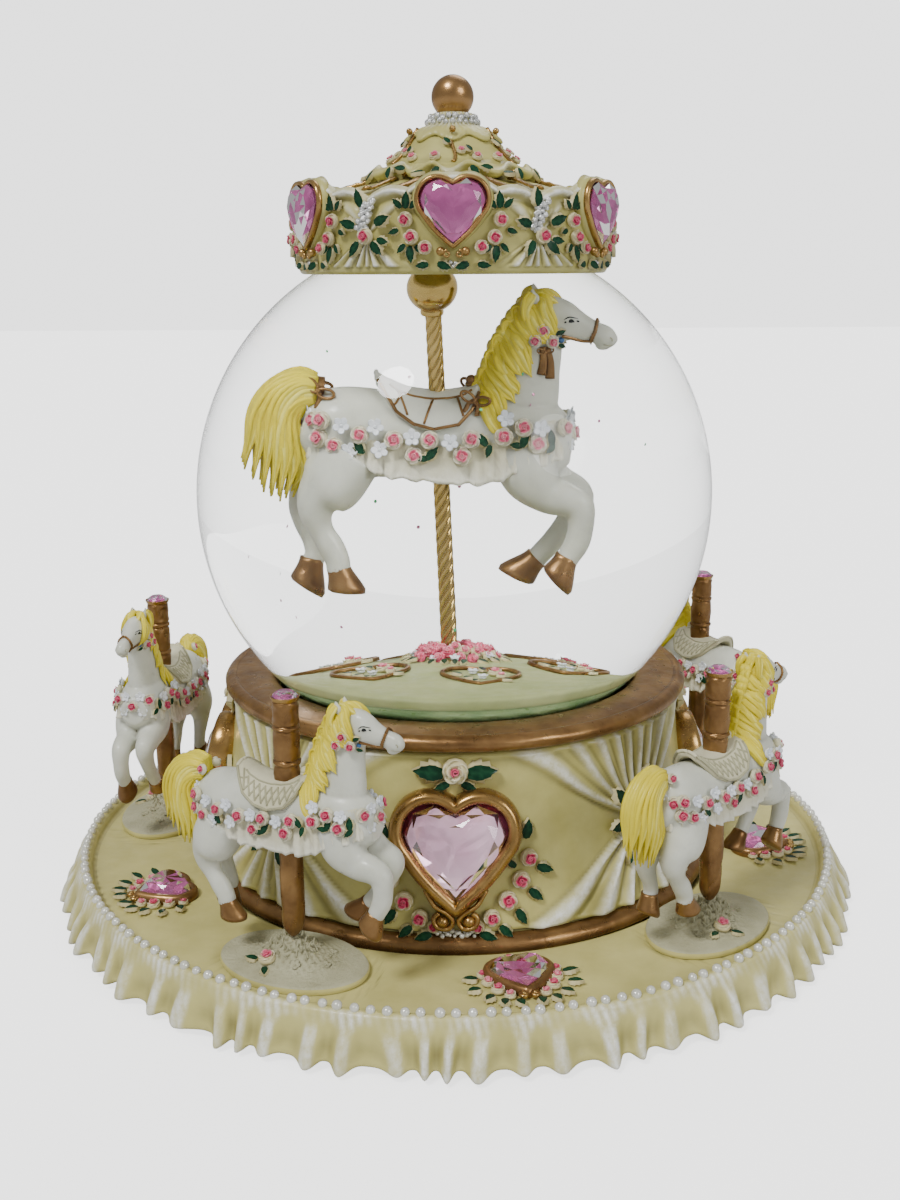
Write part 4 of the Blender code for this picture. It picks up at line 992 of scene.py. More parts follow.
def add_drum_hearts():
    """Four heart settings with scrolls, gold beads, roses and leaves."""
    section = [(-1.35, -1.0), (-1.45, 1.4), (-1.05, 2.4), (-0.3, 2.8), (0.6, 2.55), (1.2, 1.7), (1.5, 0.4),
               (1.55, -1.4), (1.35, -4.0), (-0.8, -4.0)]
    rose, big_rose, leaf = rose_part(), rose_part("petal", "petal", "rose"), leaf_part()
    bead, snow = bead_part("gold", 14, 10), bead_part("pearl", 8, 6)
    roses = [(15.2, -2.6, 2.3), (13.4, -7.0, 2.35), (10.4, -11.0, 2.45), (7.0, -14.2, 2.2), (4.3, -15.9, 1.7)]
    leaves = [(14.9, 1.2, 4.4, -0.15), (16.9, -4.7, 3.8, -1.9), (15.0, -9.2, 3.8, -2.3),
              (12.2, -13.0, 3.8, -2.6), (8.6, -16.0, 3.6, -2.3), (4.6, -17.2, 3.8, -1.9),
              (12.6, -4.4, 3.0, 0.9)]
    scroll = [(6.4, -7.6, 0.6), (4.4, -10.8, 1.4), (1.9, -12.4, 1.2), (0.6, -14.2, 0.8), (1.6, -15.8, 0.6),
              (3.9, -15.4, 0.6), (4.5, -13.6, 0.6), (3.4, -12.5, 0.6)]
    for k in range(DRUM_HEARTS):
        angle = k * math.pi / 2
        face = wall_frame(angle, DRUM_GEM_Z, DRUM_GEM_R, DRUM_SLOPE)

        def place(x, z, lift, angle=angle):
            return drum_frame(angle + x / 56.0, DRUM_GEM_Z + z, 0.9 + lift)

        trim = Shape()
        trim.add_part(solid(swept_heart(24.8, 23.6, section, 120), "gold"), face)
        trim.add_part(solid(heart_slab(24.0, 22.8, -3.8, -0.1, 60), "plum"), face)
        for side in (-1, 1):
            arm = spline([(side * x, y, z) for x, y, z in scroll], 36)
            trim.add_part(wire(arm, np.linspace(0.55, 0.62, 36), 0.9, "gold", 8),
                          shifted(face, z=-0.6))
            trim.add_part(bead, shifted(face, side * 2.75, -14.3, 0.1), 1.35)
        garland(trim, place, roses, leaves, rose, leaf)
        trim.add_part(big_rose, place(0.0, 16.3, 1.0), 3.3)
        for side in (-1, 1):
            trim.add_part(leaf, shifted(place(side * 2.2, 15.7, 0.6), spin=-side * 1.45, tilt=0.1), 6.6)
            trim.add_part(leaf, shifted(place(side * 1.2, 13.6, 0.3), spin=-side * 1.9, tilt=0.1), 3.4)
        for i in range(16):
            x = -3.6 + 0.48 * i
            z = -17.3 + 0.55 * math.sin(2.4 * i)
            trim.add_part(snow, place(x, z, 0.3), 0.52 + 0.1 * math.sin(3.3 * i))
        trim.piece(f"drum_heart_setting_{k + 1}", "root", ())
        jewel = Shape()
        add_flat(jewel, gem_part(21.4, 20.2, 4.0, "gem_pale", "foil_pale"), face)
        jewel.piece(f"drum_jewel_{k + 1}", "root", [f"drum_gem_{k + 1}"])


def add_drum_knots():
    """The gathered knots between the hearts: silver pearls and four leaves."""
    leaf, pearl, rose = leaf_part(), bead_part("silver", 8, 6), rose_part("lace", "lace", "lace")
    shape = Shape()
    for angle in FAN_ANGLES:
        def place(x, z, lift, angle=angle):
            return drum_frame(angle + x / 55.5, KNOT_Z + z, 0.9 + lift)

        for x, z, turn, size in ((-3.4, 3.6, 0.7, 5.4), (2.8, 5.6, -0.5, 5.2), (-1.8, -4.6, 2.5, 5.6),
                                 (2.6, -5.4, -2.6, 5.2), (4.8, 0.6, -1.4, 4.6), (-4.6, -0.6, 1.6, 4.2)):
            shape.add_part(leaf, shifted(place(x, z, 0.7), spin=turn, tilt=0.1), size)
        for i in range(34):
            along = i / 33
            x = -1.0 + 3.0 * along + 0.9 * math.sin(2.7 * i)
            z = -2.6 + 8.2 * along + 0.4 * math.cos(3.9 * i)
            lift = 0.45 + 0.25 * math.sin(1.9 * i)
            shape.add_part(pearl, place(x, z, lift), 0.62 + 0.12 * math.sin(2.3 * i))
        shape.add_part(rose, place(0.4, -1.6, 0.6), 2.1)
        curl = scroll_path(1, 1.3)
        shape.add_part(wire(curl, 0.4, 0.5, "pearl"), place(-1.0, -2.6, 0.5))
    shape.piece("drum_knots", "root", ())


def make_rim_ring():
    """The bronze ring that the ball stands in, slightly dented."""
    profile = rounded([(42.7, RIM_LOW), (48.0, RIM_LOW), (52.2, RIM_LOW), (53.0, RIM_LOW + 0.35),
                       (54.4, 50.3), (55.2, 51.1), (55.4, 52.0), (55.0, 52.9), (54.2, 53.5), (53.3, 53.75),
                       (52.7, 53.55), (52.2, 53.6), (49.8, 53.85), (46.8, 53.8), (44.8, 53.5), (43.9, 53.1),
                       (43.3, 52.2)], 3)

    def change(angle, radius, height):
        dent = 0.05 * np.sin(23 * angle + 3 * np.sin(4 * angle)) * np.sin(height * 1.7 + 2 * np.sin(5 * angle))
        return radius + dent, height

    points, faces = turned(profile, RIM_COLUMNS, change)
    shape = Shape()
    shape.add(points, [faces], "bronze")
    shape.piece("bronze_rim", "root", ["rim_ring"])


# ---------------------------------------------------------------- crown

SIXTH = math.pi / 3
BAND_FOOT, BAND_TOP = 147.2, 163.0


def crown_border(angle):
    """Height of the scalloped edge: an arch over each heart and two small arcs on each side."""
    share = np.abs(wrapped(angle * CROWN_GEMS, 0.0)) / math.pi
    inner = 162.3 + 2.9 * np.cos(math.pi / 2 * np.clip(share / 0.5, 0, 1)) ** 0.8
    arc = np.clip((share - 0.5) / 0.5, 0, 1)
    outer = 162.3 - 1.6 * arc + 1.25 * np.sin(math.pi * arc)
    return np.where(share < 0.5, inner, outer)


def frill(angle, folds, seed):
    """A gathered edge: 1 on an outer fold and 0 in a hollow."""
    sway = 0.5 * np.sin(3 * angle + seed) + 0.35 * np.sin(5 * angle + 2 * seed)
    return 0.5 + 0.5 * np.cos(folds * angle + sway)


def make_crown():
    """The canopy from its hollow underside up to the tip, and the gold ball on it."""
    dome = [(r, GLOBE_Z + math.sqrt((GLOBE_R + 0.35) ** 2 - r * r)) for r in np.linspace(0, 31.6, 10)]
    foot = rounded([(32.2, CROWN_BOTTOM), (33.9, CROWN_BOTTOM - 0.1), (34.6, 146.3), (CROWN_R, BAND_FOOT)], 3)
    band = [(CROWN_R, z) for z in np.linspace(BAND_FOOT + 0.3, BAND_TOP, 56)]
    roof = rounded([(34.6, 163.4), (34.0, 163.5), (33.3, 163.0), (31.5, 162.4), (28.5, 162.5), (25.0, 163.3),
                    (21.5, 164.3), (18.4, 165.1), (16.6, 165.6)], 4)
    ruffle = rounded([(17.0, 166.0), (18.0, 166.6), (18.7, 167.3), (18.5, 168.0), (17.7, 168.3),
                      (16.4, 168.4), (14.9, 168.9)], 4)
    upper = rounded([(13.9, 169.7), (12.6, 171.2), (11.3, 172.8), (10.0, 174.2), (8.8, 175.1)], 4)
    small = rounded([(9.4, 174.7), (10.4, 174.5), (10.7, 174.9), (10.2, 175.7), (8.8, 176.6), (7.2, 177.2),
                     (5.9, 177.6), (5.3, 178.6), (4.9, 179.6)], 4)
    tip = [(4.4, 180.2), (2.6, 180.5), (0.0, 180.5)]
    profile = np.array([*dome, *foot, *band, *roof, *ruffle, *upper, *small, *tip])
    first_band = len(dome) + len(foot)
    after_band = first_band + len(band)
    first_ruffle = after_band + len(roof)
    first_upper = first_ruffle + len(ruffle)
    first_small = first_upper + len(upper)
    row = np.arange(len(profile))[1:-1, None]
    tones = {}

    def change(angle, radius, height):
        border = crown_border(angle)
        in_band = (row >= first_band) & (row < after_band)
        in_roof = (row >= after_band) & (row < first_ruffle)
        share = np.clip((height - BAND_FOOT) / (BAND_TOP - BAND_FOOT), 0, 1)
        lift = (border - BAND_TOP) * np.where(in_band, share, 0.0)
        lift = lift + (border - BAND_TOP) * np.where(in_roof, smooth_step(radius, 24.0, 34.0), 0.0)
        moved_z = height + lift
        near_top = np.where(in_band, moved_z - border, np.where(in_roof & (radius > 32.0), 0.0, -99.0))
        roll = np.exp(-((near_top + 0.65) / 0.55) ** 2)
        under = np.exp(-((near_top + 2.3) / 1.0) ** 2)
        moved_r = radius + 0.85 * roll - 0.55 * under * (np.abs(wrapped(angle * CROWN_GEMS, 0.0)) > 0.25)
        tone = roll * (1.35 + 0.35 * np.sin(60 * angle))
        for k in range(CROWN_GEMS):
            centre = SIXTH * (k + 0.5)
            dx = wrapped(angle, centre) * CROWN_R
            down, ridge, _ = pleats(dx, -(moved_z - 153.0), 15.0, 1.22, 0.14, 6.5, 1.0 + k)
            up, up_ridge, _ = pleats(dx, moved_z - 153.5, 9.0, 0.9, 0.0, 6.0, 2.0 + k)
            body = smooth_step(near_top, -1.6, -4.5)
            moved_r = moved_r + np.where(in_band, 0.95 * down + 0.45 * up * body, 0.0)
            tone = tone + np.where(in_band, ridge + 0.5 * up_ridge * body, 0.0)
        fold = 0.18 * np.sin(24 * angle + 2 * np.sin(3 * angle)) * np.where(in_roof, 1.0, 0.0)
        moved_z = moved_z + fold * smooth_step(radius, 33.0, 30.0)
        in_frill = (row >= first_ruffle) & (row < first_upper)
        wave = frill(angle, 12, 0.7)
        edge = smooth_step(radius, 15.5, 18.4) * in_frill
        moved_r = moved_r + edge * (2.4 * wave - 1.4)
        moved_z = moved_z + edge * (1.1 - 2.0 * wave)
        in_small = row >= first_small
        wave = frill(angle, 9, 2.2)
        edge = smooth_step(radius, 6.6, 10.4) * in_small
        moved_r = moved_r + edge * (1.5 * wave - 0.9)
        moved_z = moved_z + edge * (0.4 - 1.3 * wave)
        comb = 0.5 + 0.5 * np.cos(40 * angle + 2 * np.sin(5 * angle))
        tone = tone + 0.55 * comb * in_small * smooth_step(radius, 9.5, 6.0)
        moved_r = moved_r - 0.12 * (1 - comb) * in_small
        tones["all"] = np.clip(tone + 0.35 * in_frill * smooth_step(wave, 0.6, 1.0) * (radius > 17.8), 0, 1)
        return moved_r, moved_z

    points, faces = lathe(profile, CROWN_COLUMNS, change)
    tone = np.broadcast_to(tones["all"], (len(profile) - 2, CROWN_COLUMNS)).reshape(-1)
    shape = Shape()
    shape.add(points, faces, "cream", np.concatenate([tone, [0, 0]]))
    shape.piece("crown_canopy", "root", ["canopy"])
    add_crown_hearts()
    add_crown_bows()
    add_crown_roof_trim()
    finial = Shape()
    finial.add(*lathe(ball_profile(FINIAL_R, FINIAL_Z, 40), 72), "finial")
    finial.piece("finial_gold_ball", "root", ["finial_ball"])


def band_frame(angle, height, lift=0.0):
    return wall_frame(angle, height, CROWN_R, 0.0, lift)


def add_crown_hearts():
    """A jewel in its gold bezel over each sixth of the band, with roses and leaves beside it."""
    section = [(-0.4, -0.6), (-0.45, 0.4), (-0.25, 0.8), (0.1, 0.9), (0.4, 0.7), (0.55, 0.2), (0.5, -0.35)]
    seat = [(-0.3, -0.2), (0.55, -0.3), (1.25, -2.2), (-0.4, -2.2)]
    rose, leaf = rose_part(), leaf_part()
    bead, snow = bead_part("gold", 12, 8), bead_part("silver", 8, 6)
    roses = [(9.4, -1.4, 1.85), (8.3, -4.9, 1.85), (5.6, -6.9, 1.75)]
    leaves = [(9.4, 0.6, 3.5, 0.1), (10.2, 0.8, 2.6, -0.8), (8.7, 0.8, 2.6, 0.9), (8.7, -6.5, 3.5, 3.0),
              (7.6, -6.5, 2.4, 2.3), (9.6, -6.2, 2.4, -2.4), (3.2, -10.0, 3.2, 1.9), (4.8, -10.2, 2.8, -1.7),
              (10.9, -3.4, 2.3, -1.9)]
    for k in range(CROWN_GEMS):
        angle = SIXTH * k
        face = wall_frame(angle, CROWN_GEM_Z, CROWN_BEZEL_R)

        def place(x, z, lift, angle=angle):
            return band_frame(angle + x / CROWN_R, CROWN_GEM_Z + z, 0.2 + lift)

        trim = Shape()
        trim.add_part(solid(swept_heart(14.4, 13.4, section, 90), "gold"), face)
        trim.add_part(solid(swept_heart(14.4, 13.4, seat, 90), "cream"), face)
        trim.add_part(solid(heart_slab(14.1, 13.1, -1.5, 0.1, 48), "plum"), face)
        for side in (-1, 1):
            trim.add_part(bead, shifted(face, side * 2.5, -7.7, 0.1), 0.95)
            curl = scroll_path(side, 0.8)
            trim.add_part(wire(curl, 0.28, 0.45, "gold"),
                          shifted(face, side * 1.2, -7.4, 0.2))
        garland(trim, place, roses, leaves, rose, leaf)
        for i in range(9):
            trim.add_part(snow, place(-2.0 + 0.5 * i, -10.3 + 0.45 * math.sin(2.6 * i), 0.35), 0.5)
        trim.piece(f"crown_heart_setting_{k + 1}", "root", ())
        jewel = Shape()
        add_flat(jewel, gem_part(13.6, 12.7, 2.7, "gem", "foil", domed=True), face)
        jewel.piece(f"crown_jewel_{k + 1}", "root", [f"crown_gem_{k + 1}"])


def add_crown_bows():
    """Leaves, silver pearls and a rose on the gathers between two hearts."""
    leaf, rose, pearl = leaf_part(), rose_part(), bead_part("silver", 8, 6)
    shape = Shape()
    for k in range(CROWN_GEMS):
        angle = SIXTH * (k + 0.5)

        def place(x, z, lift, angle=angle):
            return band_frame(angle + x / CROWN_R, z, 0.5 + lift)

        for x, z, turn, size in ((-0.6, 159.0, 0.25, 3.9), (-2.2, 155.4, 1.3, 3.8), (2.2, 155.8, -1.2, 4.0),
                                 (-1.6, 152.4, 2.6, 3.6), (1.4, 152.2, -2.3, 3.8), (2.6, 152.6, -1.7, 3.0)):
            shape.add_part(leaf, shifted(place(x, z, 0.45), spin=turn, tilt=0.1), size)
        for i in range(34):
            share = i / 33
            x = -1.1 + 1.9 * share + 1.1 * math.sin(2.7 * i)
            shape.add_part(pearl, place(x, 154.4 + 6.0 * share, 0.4 + 0.3 * math.sin(1.9 * i)),
                           0.6 + 0.12 * math.sin(2.3 * i))
        shape.add_part(rose, shifted(place(0.3, 153.4, 0.7), spin=k), 2.0)
    shape.piece("crown_bows", "root", ())


def add_crown_roof_trim():
    """Ribs, straps, shells, roses and leaves on the roof, and the pearl collar."""
    leaf, rose = leaf_part(), rose_part("petal", "pink", "rose")
    bead, pearl = bead_part("gold", 8, 6), bead_part("silver", 8, 6)
    shell = solid(ball((1.35, 1.2, 1.0), (0, 0, 0), 12, 8), "gold")
    rib = spline([(15.0, 168.9), (14.0, 169.7), (12.7, 171.2), (11.3, 172.9), (10.0, 174.6),
                  (8.6, 176.6)], 20)
    shape = Shape()
    for k in range(CROWN_GEMS):
        angle = SIXTH * k
        turn = angle + 0.04 * np.sin(np.linspace(0, 6, 20) + k)
        shape.add(*tube(around(rib[:, 0], turn, rib[:, 1] + 0.15), 0.42, 0.42, 8), "gold")
        shape.add_part(bead, wall_frame(angle, 176.0, 10.9, 0.4), 0.75)
        for side in (-1, 1):
            # straps from the frill down to the low points of the band
            start, end = angle + side * 0.33, angle + side * 0.44
            s = np.linspace(0, 1, 14)
            turn = start + (end - start) * s
            radius = 18.6 + 13.2 * s
            height = np.interp(radius, (18.4, 21.5, 25.0, 28.5, 31.8), (165.3, 164.5, 163.5, 162.7, 162.6))
            height = height + 0.35 * np.abs(np.sin(7 * math.pi * s))
            path = around(radius, turn, height + 0.35)
            sideways = (math.cos(angle), math.sin(angle), 0)
            shape.add(*tube(path, 0.38, 0.85, 8, side_axis=sideways), "gold")
        for i, (shift, radius, height, size) in enumerate((
                (-0.28, 13.8, 170.0, 1.5), (0.14, 12.8, 171.2, 1.25), (0.38, 14.0, 169.9, 1.4))):
            place = wall_frame(angle + shift, height, radius, 1.0, 0.1)
            shape.add_part(rose, shifted(place, spin=2.0 * i + k), size)
        for shift, radius, height, turn, size, slope in (
                (-0.05, 12.0, 172.2, 0.6, 2.4, 0.9), (-0.17, 17.6, 167.4, 2.8, 3.2, 0.5),
                (0.21, 17.5, 167.6, -2.7, 3.2, 0.5), (0.48, 18.0, 166.8, 1.4, 3.0, 0.7),
                (-0.47, 19.4, 165.6, -1.5, 3.2, 1.2), (0.3, 13.4, 170.6, 0.4, 2.2, 0.9)):
            place = wall_frame(angle + shift, height, radius, slope, 0.8)
            shape.add_part(leaf, shifted(place, spin=turn), size)
        for shift in (-0.13, 0.39):
            shape.add_part(shell, wall_frame(angle + shift, 167.2, 16.4, 0.3))
    row_count = 23
    for i in range(2 * row_count):
        upper = i >= row_count
        turn = 2 * math.pi * i / row_count + 0.1 * upper
        height = 178.2 + 1.0 * upper + 0.25 * math.sin(3.1 * i)
        place = wall_frame(turn, height, 5.5 - 0.45 * upper, 0.3)
        shape.add_part(pearl, place, 0.72 + 0.1 * math.sin(5.3 * i))
    shape.piece("crown_roof_trim", "root", ())


# ---------------------------------------------------------------- carousel horse
# Millimetres before scaling.  The origin is on the pole in the middle of the trunk,
# +X is forwards and -Y is the near side.

# stations of (x, z, radius in the plane, half width)
TRUNK = [(-31.5, 4.5, 4.5, 4.0), (-29, 3.6, 7.6, 6.4), (-24, 2.6, 9.6, 8.4), (-17, 1.6, 10.2, 9.0),
         (-8, 0.8, 9.8, 8.8), (2, 0.6, 9.8, 9.0), (12, 0.8, 10.6, 9.0), (20, 0.2, 10.4, 8.4),
         (26, -0.6, 8.4, 7.0), (30.5, -1.0, 5.0, 4.6)]
NECK = [(15, 2, 10, 6.6), (18.5, 9, 9, 5.4), (20.5, 16, 7.6, 4.6), (22.8, 23, 6, 3.9), (24.6, 29, 4.6, 3.2)]
HEAD = [(23.5, 30, 4.0, 2.8), (26.5, 28.8, 5.0, 3.5), (29.5, 27.6, 4.8, 3.4), (33, 26.2, 3.5, 2.7),
        (36.5, 25.0, 2.7, 2.2), (39, 24.0, 2.8, 2.3), (41.0, 22.9, 1.7, 1.7)]
SKIN_VOXEL = 0.55
LEGS = [
    # near hind, far hind, near fore and far fore: side and (x, z, radius) down the leg
    (-4.6, [(-21.0, -3.0, 8.0), (-25.1, -9.6, 7.6), (-28.0, -13.2, 5.4), (-28.6, -16.8, 4.0),
            (-27.3, -20.7, 2.9), (-25.1, -24.5, 3.1), (-23.6, -27.9, 2.9), (-23.5, -30.6, 2.9)]),
    (4.6, [(-22.0, -3.0, 7.6), (-27.0, -10.0, 6.6), (-30.2, -15.5, 4.4), (-30.2, -19.6, 3.2),
           (-28.8, -23.8, 2.6), (-28.2, -27.4, 2.5), (-29.4, -29.8, 2.5)]),
    (-4.4, [(18.0, -1.5, 7.0), (21.0, -8.0, 6.6), (25.2, -12.2, 4.8), (29.6, -13.6, 4.1), (32.3, -15.4, 3.7),
            (32.7, -19.4, 3.1), (31.9, -23.4, 3.0), (30.0, -26.7, 2.7), (29.0, -28.3, 2.6)]),
    (4.4, [(18.0, -1.5, 6.8), (22.0, -8.0, 6.2), (27.0, -11.5, 4.6), (31.6, -14.4, 3.8), (29.6, -19.6, 2.9),
           (26.2, -24.2, 2.6), (23.0, -27.6, 2.5), (21.6, -29.2, 2.5)]),
]
# side, fetlock, middle of the sole, and the way the toe points
HOOVES = [
    (-4.6, (-23.6, -29.0), (-21.6, -35.2), (0.95, -0.3)),
    (4.6, (-29.0, -28.2), (-30.4, -35.2), (0.6, -0.8)),
    (-4.4, (29.5, -26.9), (26.6, -32.9), (-0.35, -0.94)),
    (4.4, (22.2, -28.4), (17.2, -33.0), (-0.75, -0.65)),
]
# side swellings of the skin: middle (x, distance from the plane, z), radii, columns and rows
SWELLINGS = [
    ((30.2, 2.9, 28.6), (1.7, 0.9, 1.1), 12, 8),
    ((21.5, 5.6, -1.5), (6.4, 3.0, 7.4), 18, 12),
    ((-22.0, 5.6, -1.0), (7.4, 3.4, 8.0), 18, 12),
]


def stations(points, y=0.0, count=40, sides=22):
    """A limb through stations.  One without a half width is slightly flattened."""
    full = [(p[0], y * (1 if i else 0.75), p[1], p[2], p[3] if len(p) > 3 else p[2] * 0.92)
            for i, p in enumerate(points)]
    s = spline(full, count)
    return tube(s[:, :3], s[:, 3], s[:, 4], sides)


def horse_skin():
    """The horse's body as one smooth skin: points and four-sided faces."""
    limbs = [stations(TRUNK, count=60, sides=32), stations(NECK, count=36, sides=28)]
    limbs.append(stations(HEAD, count=36, sides=26))
    limbs += [stations(leg, side) for side, leg in LEGS]
    limbs.append(ball(np.array([4.4, 3.1, 4.0]), (28.4, 0, 26.5), 20, 14))
    limbs.append(ball(np.array([2.7, 2.4, 2.3]), (39.2, 0, 23.7), 16, 12))
    limbs.append(ball(np.array([1.9, 1.5, 1.1]), (37.9, 0, 21.6), 14, 10))
    for side in (-1, 1):
        limbs += [ball(np.array(radii), (x, side * y, z), columns, rows)
                  for (x, y, z), radii, columns, rows in SWELLINGS]
        ear = spline([(23.2, side * 1.7, 32.0, 1.5), (22.4, side * 2.2, 34.0, 1.35),
                      (21.8, side * 2.5, 36.4, 0.4)], 12)
        limbs.append(tube(ear[:, :3], ear[:, 3], ear[:, 3] * 0.7, 12))
    points, faces, count = [], [], 0
    for limb, blocks in limbs:
        points.append(limb)
        faces += [(block + count).tolist() for block in blocks]
        count += len(limb)
    mesh = bpy.data.meshes.new("horse_skin")
    mesh.from_pydata(np.concatenate(points).tolist(), [], [face for block in faces for face in block])
    obj = new_object("horse_skin", mesh)
    remesh = obj.modifiers.new("union", "REMESH")
    remesh.mode = "VOXEL"
    remesh.voxel_size = SKIN_VOXEL
    smooth = obj.modifiers.new("soften", "SMOOTH")
    smooth.factor = 0.5
    smooth.iterations = 8
    ready = obj.evaluated_get(bpy.context.evaluated_depsgraph_get()).to_mesh()
    skin = np.empty(len(ready.vertices) * 3)
    ready.vertices.foreach_get("co", skin)
    quads = [tuple(face.vertices) for face in ready.polygons]
    skin = skin.reshape(-1, 3)
    bpy.data.objects.remove(obj)
    bpy.data.meshes.remove(mesh)
    return skin, quads


class Skin:
    """Places on the horse's skin, found by rays from the side."""

    def __init__(self, points, quads):
        self.tree = BVHTree.FromPolygons(points.tolist(), quads)

    def at(self, x, z, side, lift=0.0):
        """The point above (x, z) on the given side, and the way out of the skin."""
        place, normal, _, _ = self.tree.ray_cast(Vector((x, side * 40.0, z)), Vector((0, -side, 0)))
        if place is None:
            place, normal, _, _ = self.tree.find_nearest(Vector((x, side * 2.0, z)))
        normal = np.array(normal)
        if normal[1] * side < 0:
            normal = -normal
        return np.array(place) + normal * lift, normal

    def frame(self, x, z, side, lift=0.0, spin=0.0):
        place, normal = self.at(x, z, side, lift)
        return frame_at(place, normal, spin=spin)

    def line(self, points, side, lift, count):
        """A curve through (x, z) points, laid on the skin."""
        return np.array([self.at(x, z, side, lift)[0] for x, z in spline(points, count)])


def lock(shape, path, width, depth, seed, strands=3, side=None):
    """A lock of sculpted hair: a tapered body with finer strands along it, on the side that shows."""
    curve = spline(path, 18)
    s = np.linspace(0, 1, 18)
    taper = 0.5 + 0.62 * np.sin(math.pi * np.clip(0.15 + 0.85 * s, 0, 1) ** 0.8)
    taper = taper * smooth_step(1.03 - s, 0.0, 0.32) + 0.10
    shape.add(*tube(curve, width * taper, depth * taper, 8), "hair", 0.1)
    along = unit(np.gradient(curve, axis=0))
    across = unit(np.stack([-along[:, 2], 0 * s, along[:, 0]], -1))
    out = np.array([0, side if side else 1, 0])
    for k in range(strands):
        off = (k - (strands - 1) / 2) / max(strands - 1, 1) * 1.25
        wobble = 0.18 * np.sin(7 * s + seed + 2.1 * k)
        faces_out = 1.0 if side else (-1) ** (k + int(seed))
        sway = across * (width * taper * (off + wobble))[:, None]
        line = curve + sway + out * (faces_out * depth * taper * 0.62)[:, None]
        shape.add(*tube(line, width * taper * 0.36, depth * taper * 0.5, 6), "hair", 0.9 * (k % 2))


CREST = [(23.2, 33.8), (19.6, 31.2), (16.6, 27.6), (14.2, 23.4), (12.2, 18.8), (10.2, 14.4), (8.8, 11.0)]
TAIL_OUTER = [(-28.5, 13.2), (-32.5, 14.2), (-37.5, 12.4), (-41.5, 7.6), (-43.4, 1.0), (-45.4, -5.7)]
TAIL_INNER = [(-28.5, 9.8), (-32.0, 9.2), (-34.6, 4.6), (-33.4, -1.5), (-31.8, -7.0), (-34.0, -12.2)]


def add_mane(shape, skin):
    """Locks that fall down both sides of the neck, a ridge along the crest, and the forelock."""
    crest = spline(CREST, 15)
    for i, (x, z) in enumerate(crest):
        for side in (-1, 1):
            sway = 0.7 * math.sin(2.3 * i + side)
            long = 9.5 + 1.6 * math.sin(1.7 * i + 2 * side)
            path = [(x - 0.2, side * 0.5, z + 0.1)]
            for share, lift in ((0.22, 0.7), (0.5, 0.8), (0.78, 0.75), (1.0, 0.6)):
                px = x + 0.52 * long * share + sway * math.sin(3 * share) + 0.5
                pz = z - 0.85 * long * share + 0.8 * math.sin(5 * share + i)
                place, _ = skin.at(px, pz, side, lift)
                path.append(tuple(place))
            lock(shape, path, 1.55, 0.85, 1.3 * i + side, side=side)
        bump = [(x + 1.0, 0, z - 0.6), (x - 0.7, 0.3 * math.sin(i), z + 0.1),
                (x - 0.9, 0.4 * math.cos(i), z - 2.4), (x - 0.2, 0.2, z - 4.4)]
        lock(shape, bump, 1.1, 1.5, i, strands=2)
    for side in (-1, 1):
        lock(shape, [(22.8, side * 0.6, 34.0), (24.6, side * 1.2, 34.2), (26.6, side * 1.5, 32.9),
                     (28.6, side * 1.6, 31.6)], 1.0, 0.9, side, strands=2, side=side)
        lock(shape, [(22.0, side * 2.4, 35.0), (20.6, side * 3.2, 33.0), (20.2, side * 3.6, 30.0),
                     (21.4, side * 3.7, 27.0)], 1.1, 0.8, 2 * side, strands=2, side=side)


def add_tail(shape):
    """A full tail: rows of locks between its outer and its inner line."""
    outer, inner = np.array(TAIL_OUTER), np.array(TAIL_INNER)
    for i, q in enumerate(np.linspace(0, 1, 7)):
        for j, depth in enumerate((-1, -0.4, 0.4, 1)):
            ends = 3.6 * math.sin(math.pi * q) + 1.2 * math.sin(3.1 * i + 1.7 * j)
            plane = outer * (1 - q) + inner * q
            swell = np.array([0.5, 0.8, 1.05, 1.2, 1.15, 0.8]) * 2.9 * (1 - 0.5 * (2 * q - 1) ** 2)
            plane[-1] += [0.25 * ends, -ends]
            path = [(px, depth * w, pz) for (px, pz), w in zip(plane, swell)]
            lock(shape, path, 1.95, 1.4, i + 2 * j, strands=3, side=1 if depth > 0 else -1)


def ring_at(turn):
    """A rounded oblong about the trunk, in the level plane."""
    c, s = np.cos(turn), np.sin(turn)
    return 29.6 * np.sign(c) * np.abs(c) ** 0.55 - 0.4, 9.5 * np.sign(s) * np.abs(s) ** 0.55


GARLAND_STEPS = 900
# (x, z) of the skirt's lower edge
SKIRT_LOW = [(-31, -3.4), (-24, -4.2), (-17, -5.0), (-14, -7.4), (-6, -8.4), (2, -9.2), (10, -9.6),
             (16, -8.0), (20, -5.2), (26, -5.0), (31, -2.4)]
# (x, z) and kind: a rose, a white flower or leaves
FLOWERS = [(-27.2, 5.6, "r"), (-22.7, 4.6, "w"), (-24.4, -0.2, "r"), (-18.6, 2.5, "r"), (-14.9, 4.4, "w"),
           (-17.8, -1.0, "l"), (-14.0, -1.0, "w"), (-10.8, 1.3, "r"), (-6.5, 1.9, "w"), (-5.9, -2.4, "r"),
           (-3.0, -2.4, "l"), (-1.8, 1.3, "r"), (2.5, 0.7, "w"), (5.4, -2.6, "r"), (7.4, 1.4, "r"),
           (11.2, 0.7, "l"), (15.0, 1.9, "r"), (15.4, 6.2, "w"), (18.8, 0.2, "l"), (19.6, 4.0, "r"),
           (22.6, 0.0, "r"), (23.4, 3.6, "w"), (25.6, 0.2, "l"), (-27.6, 1.4, "r"), (-21.0, -1.4, "w")]


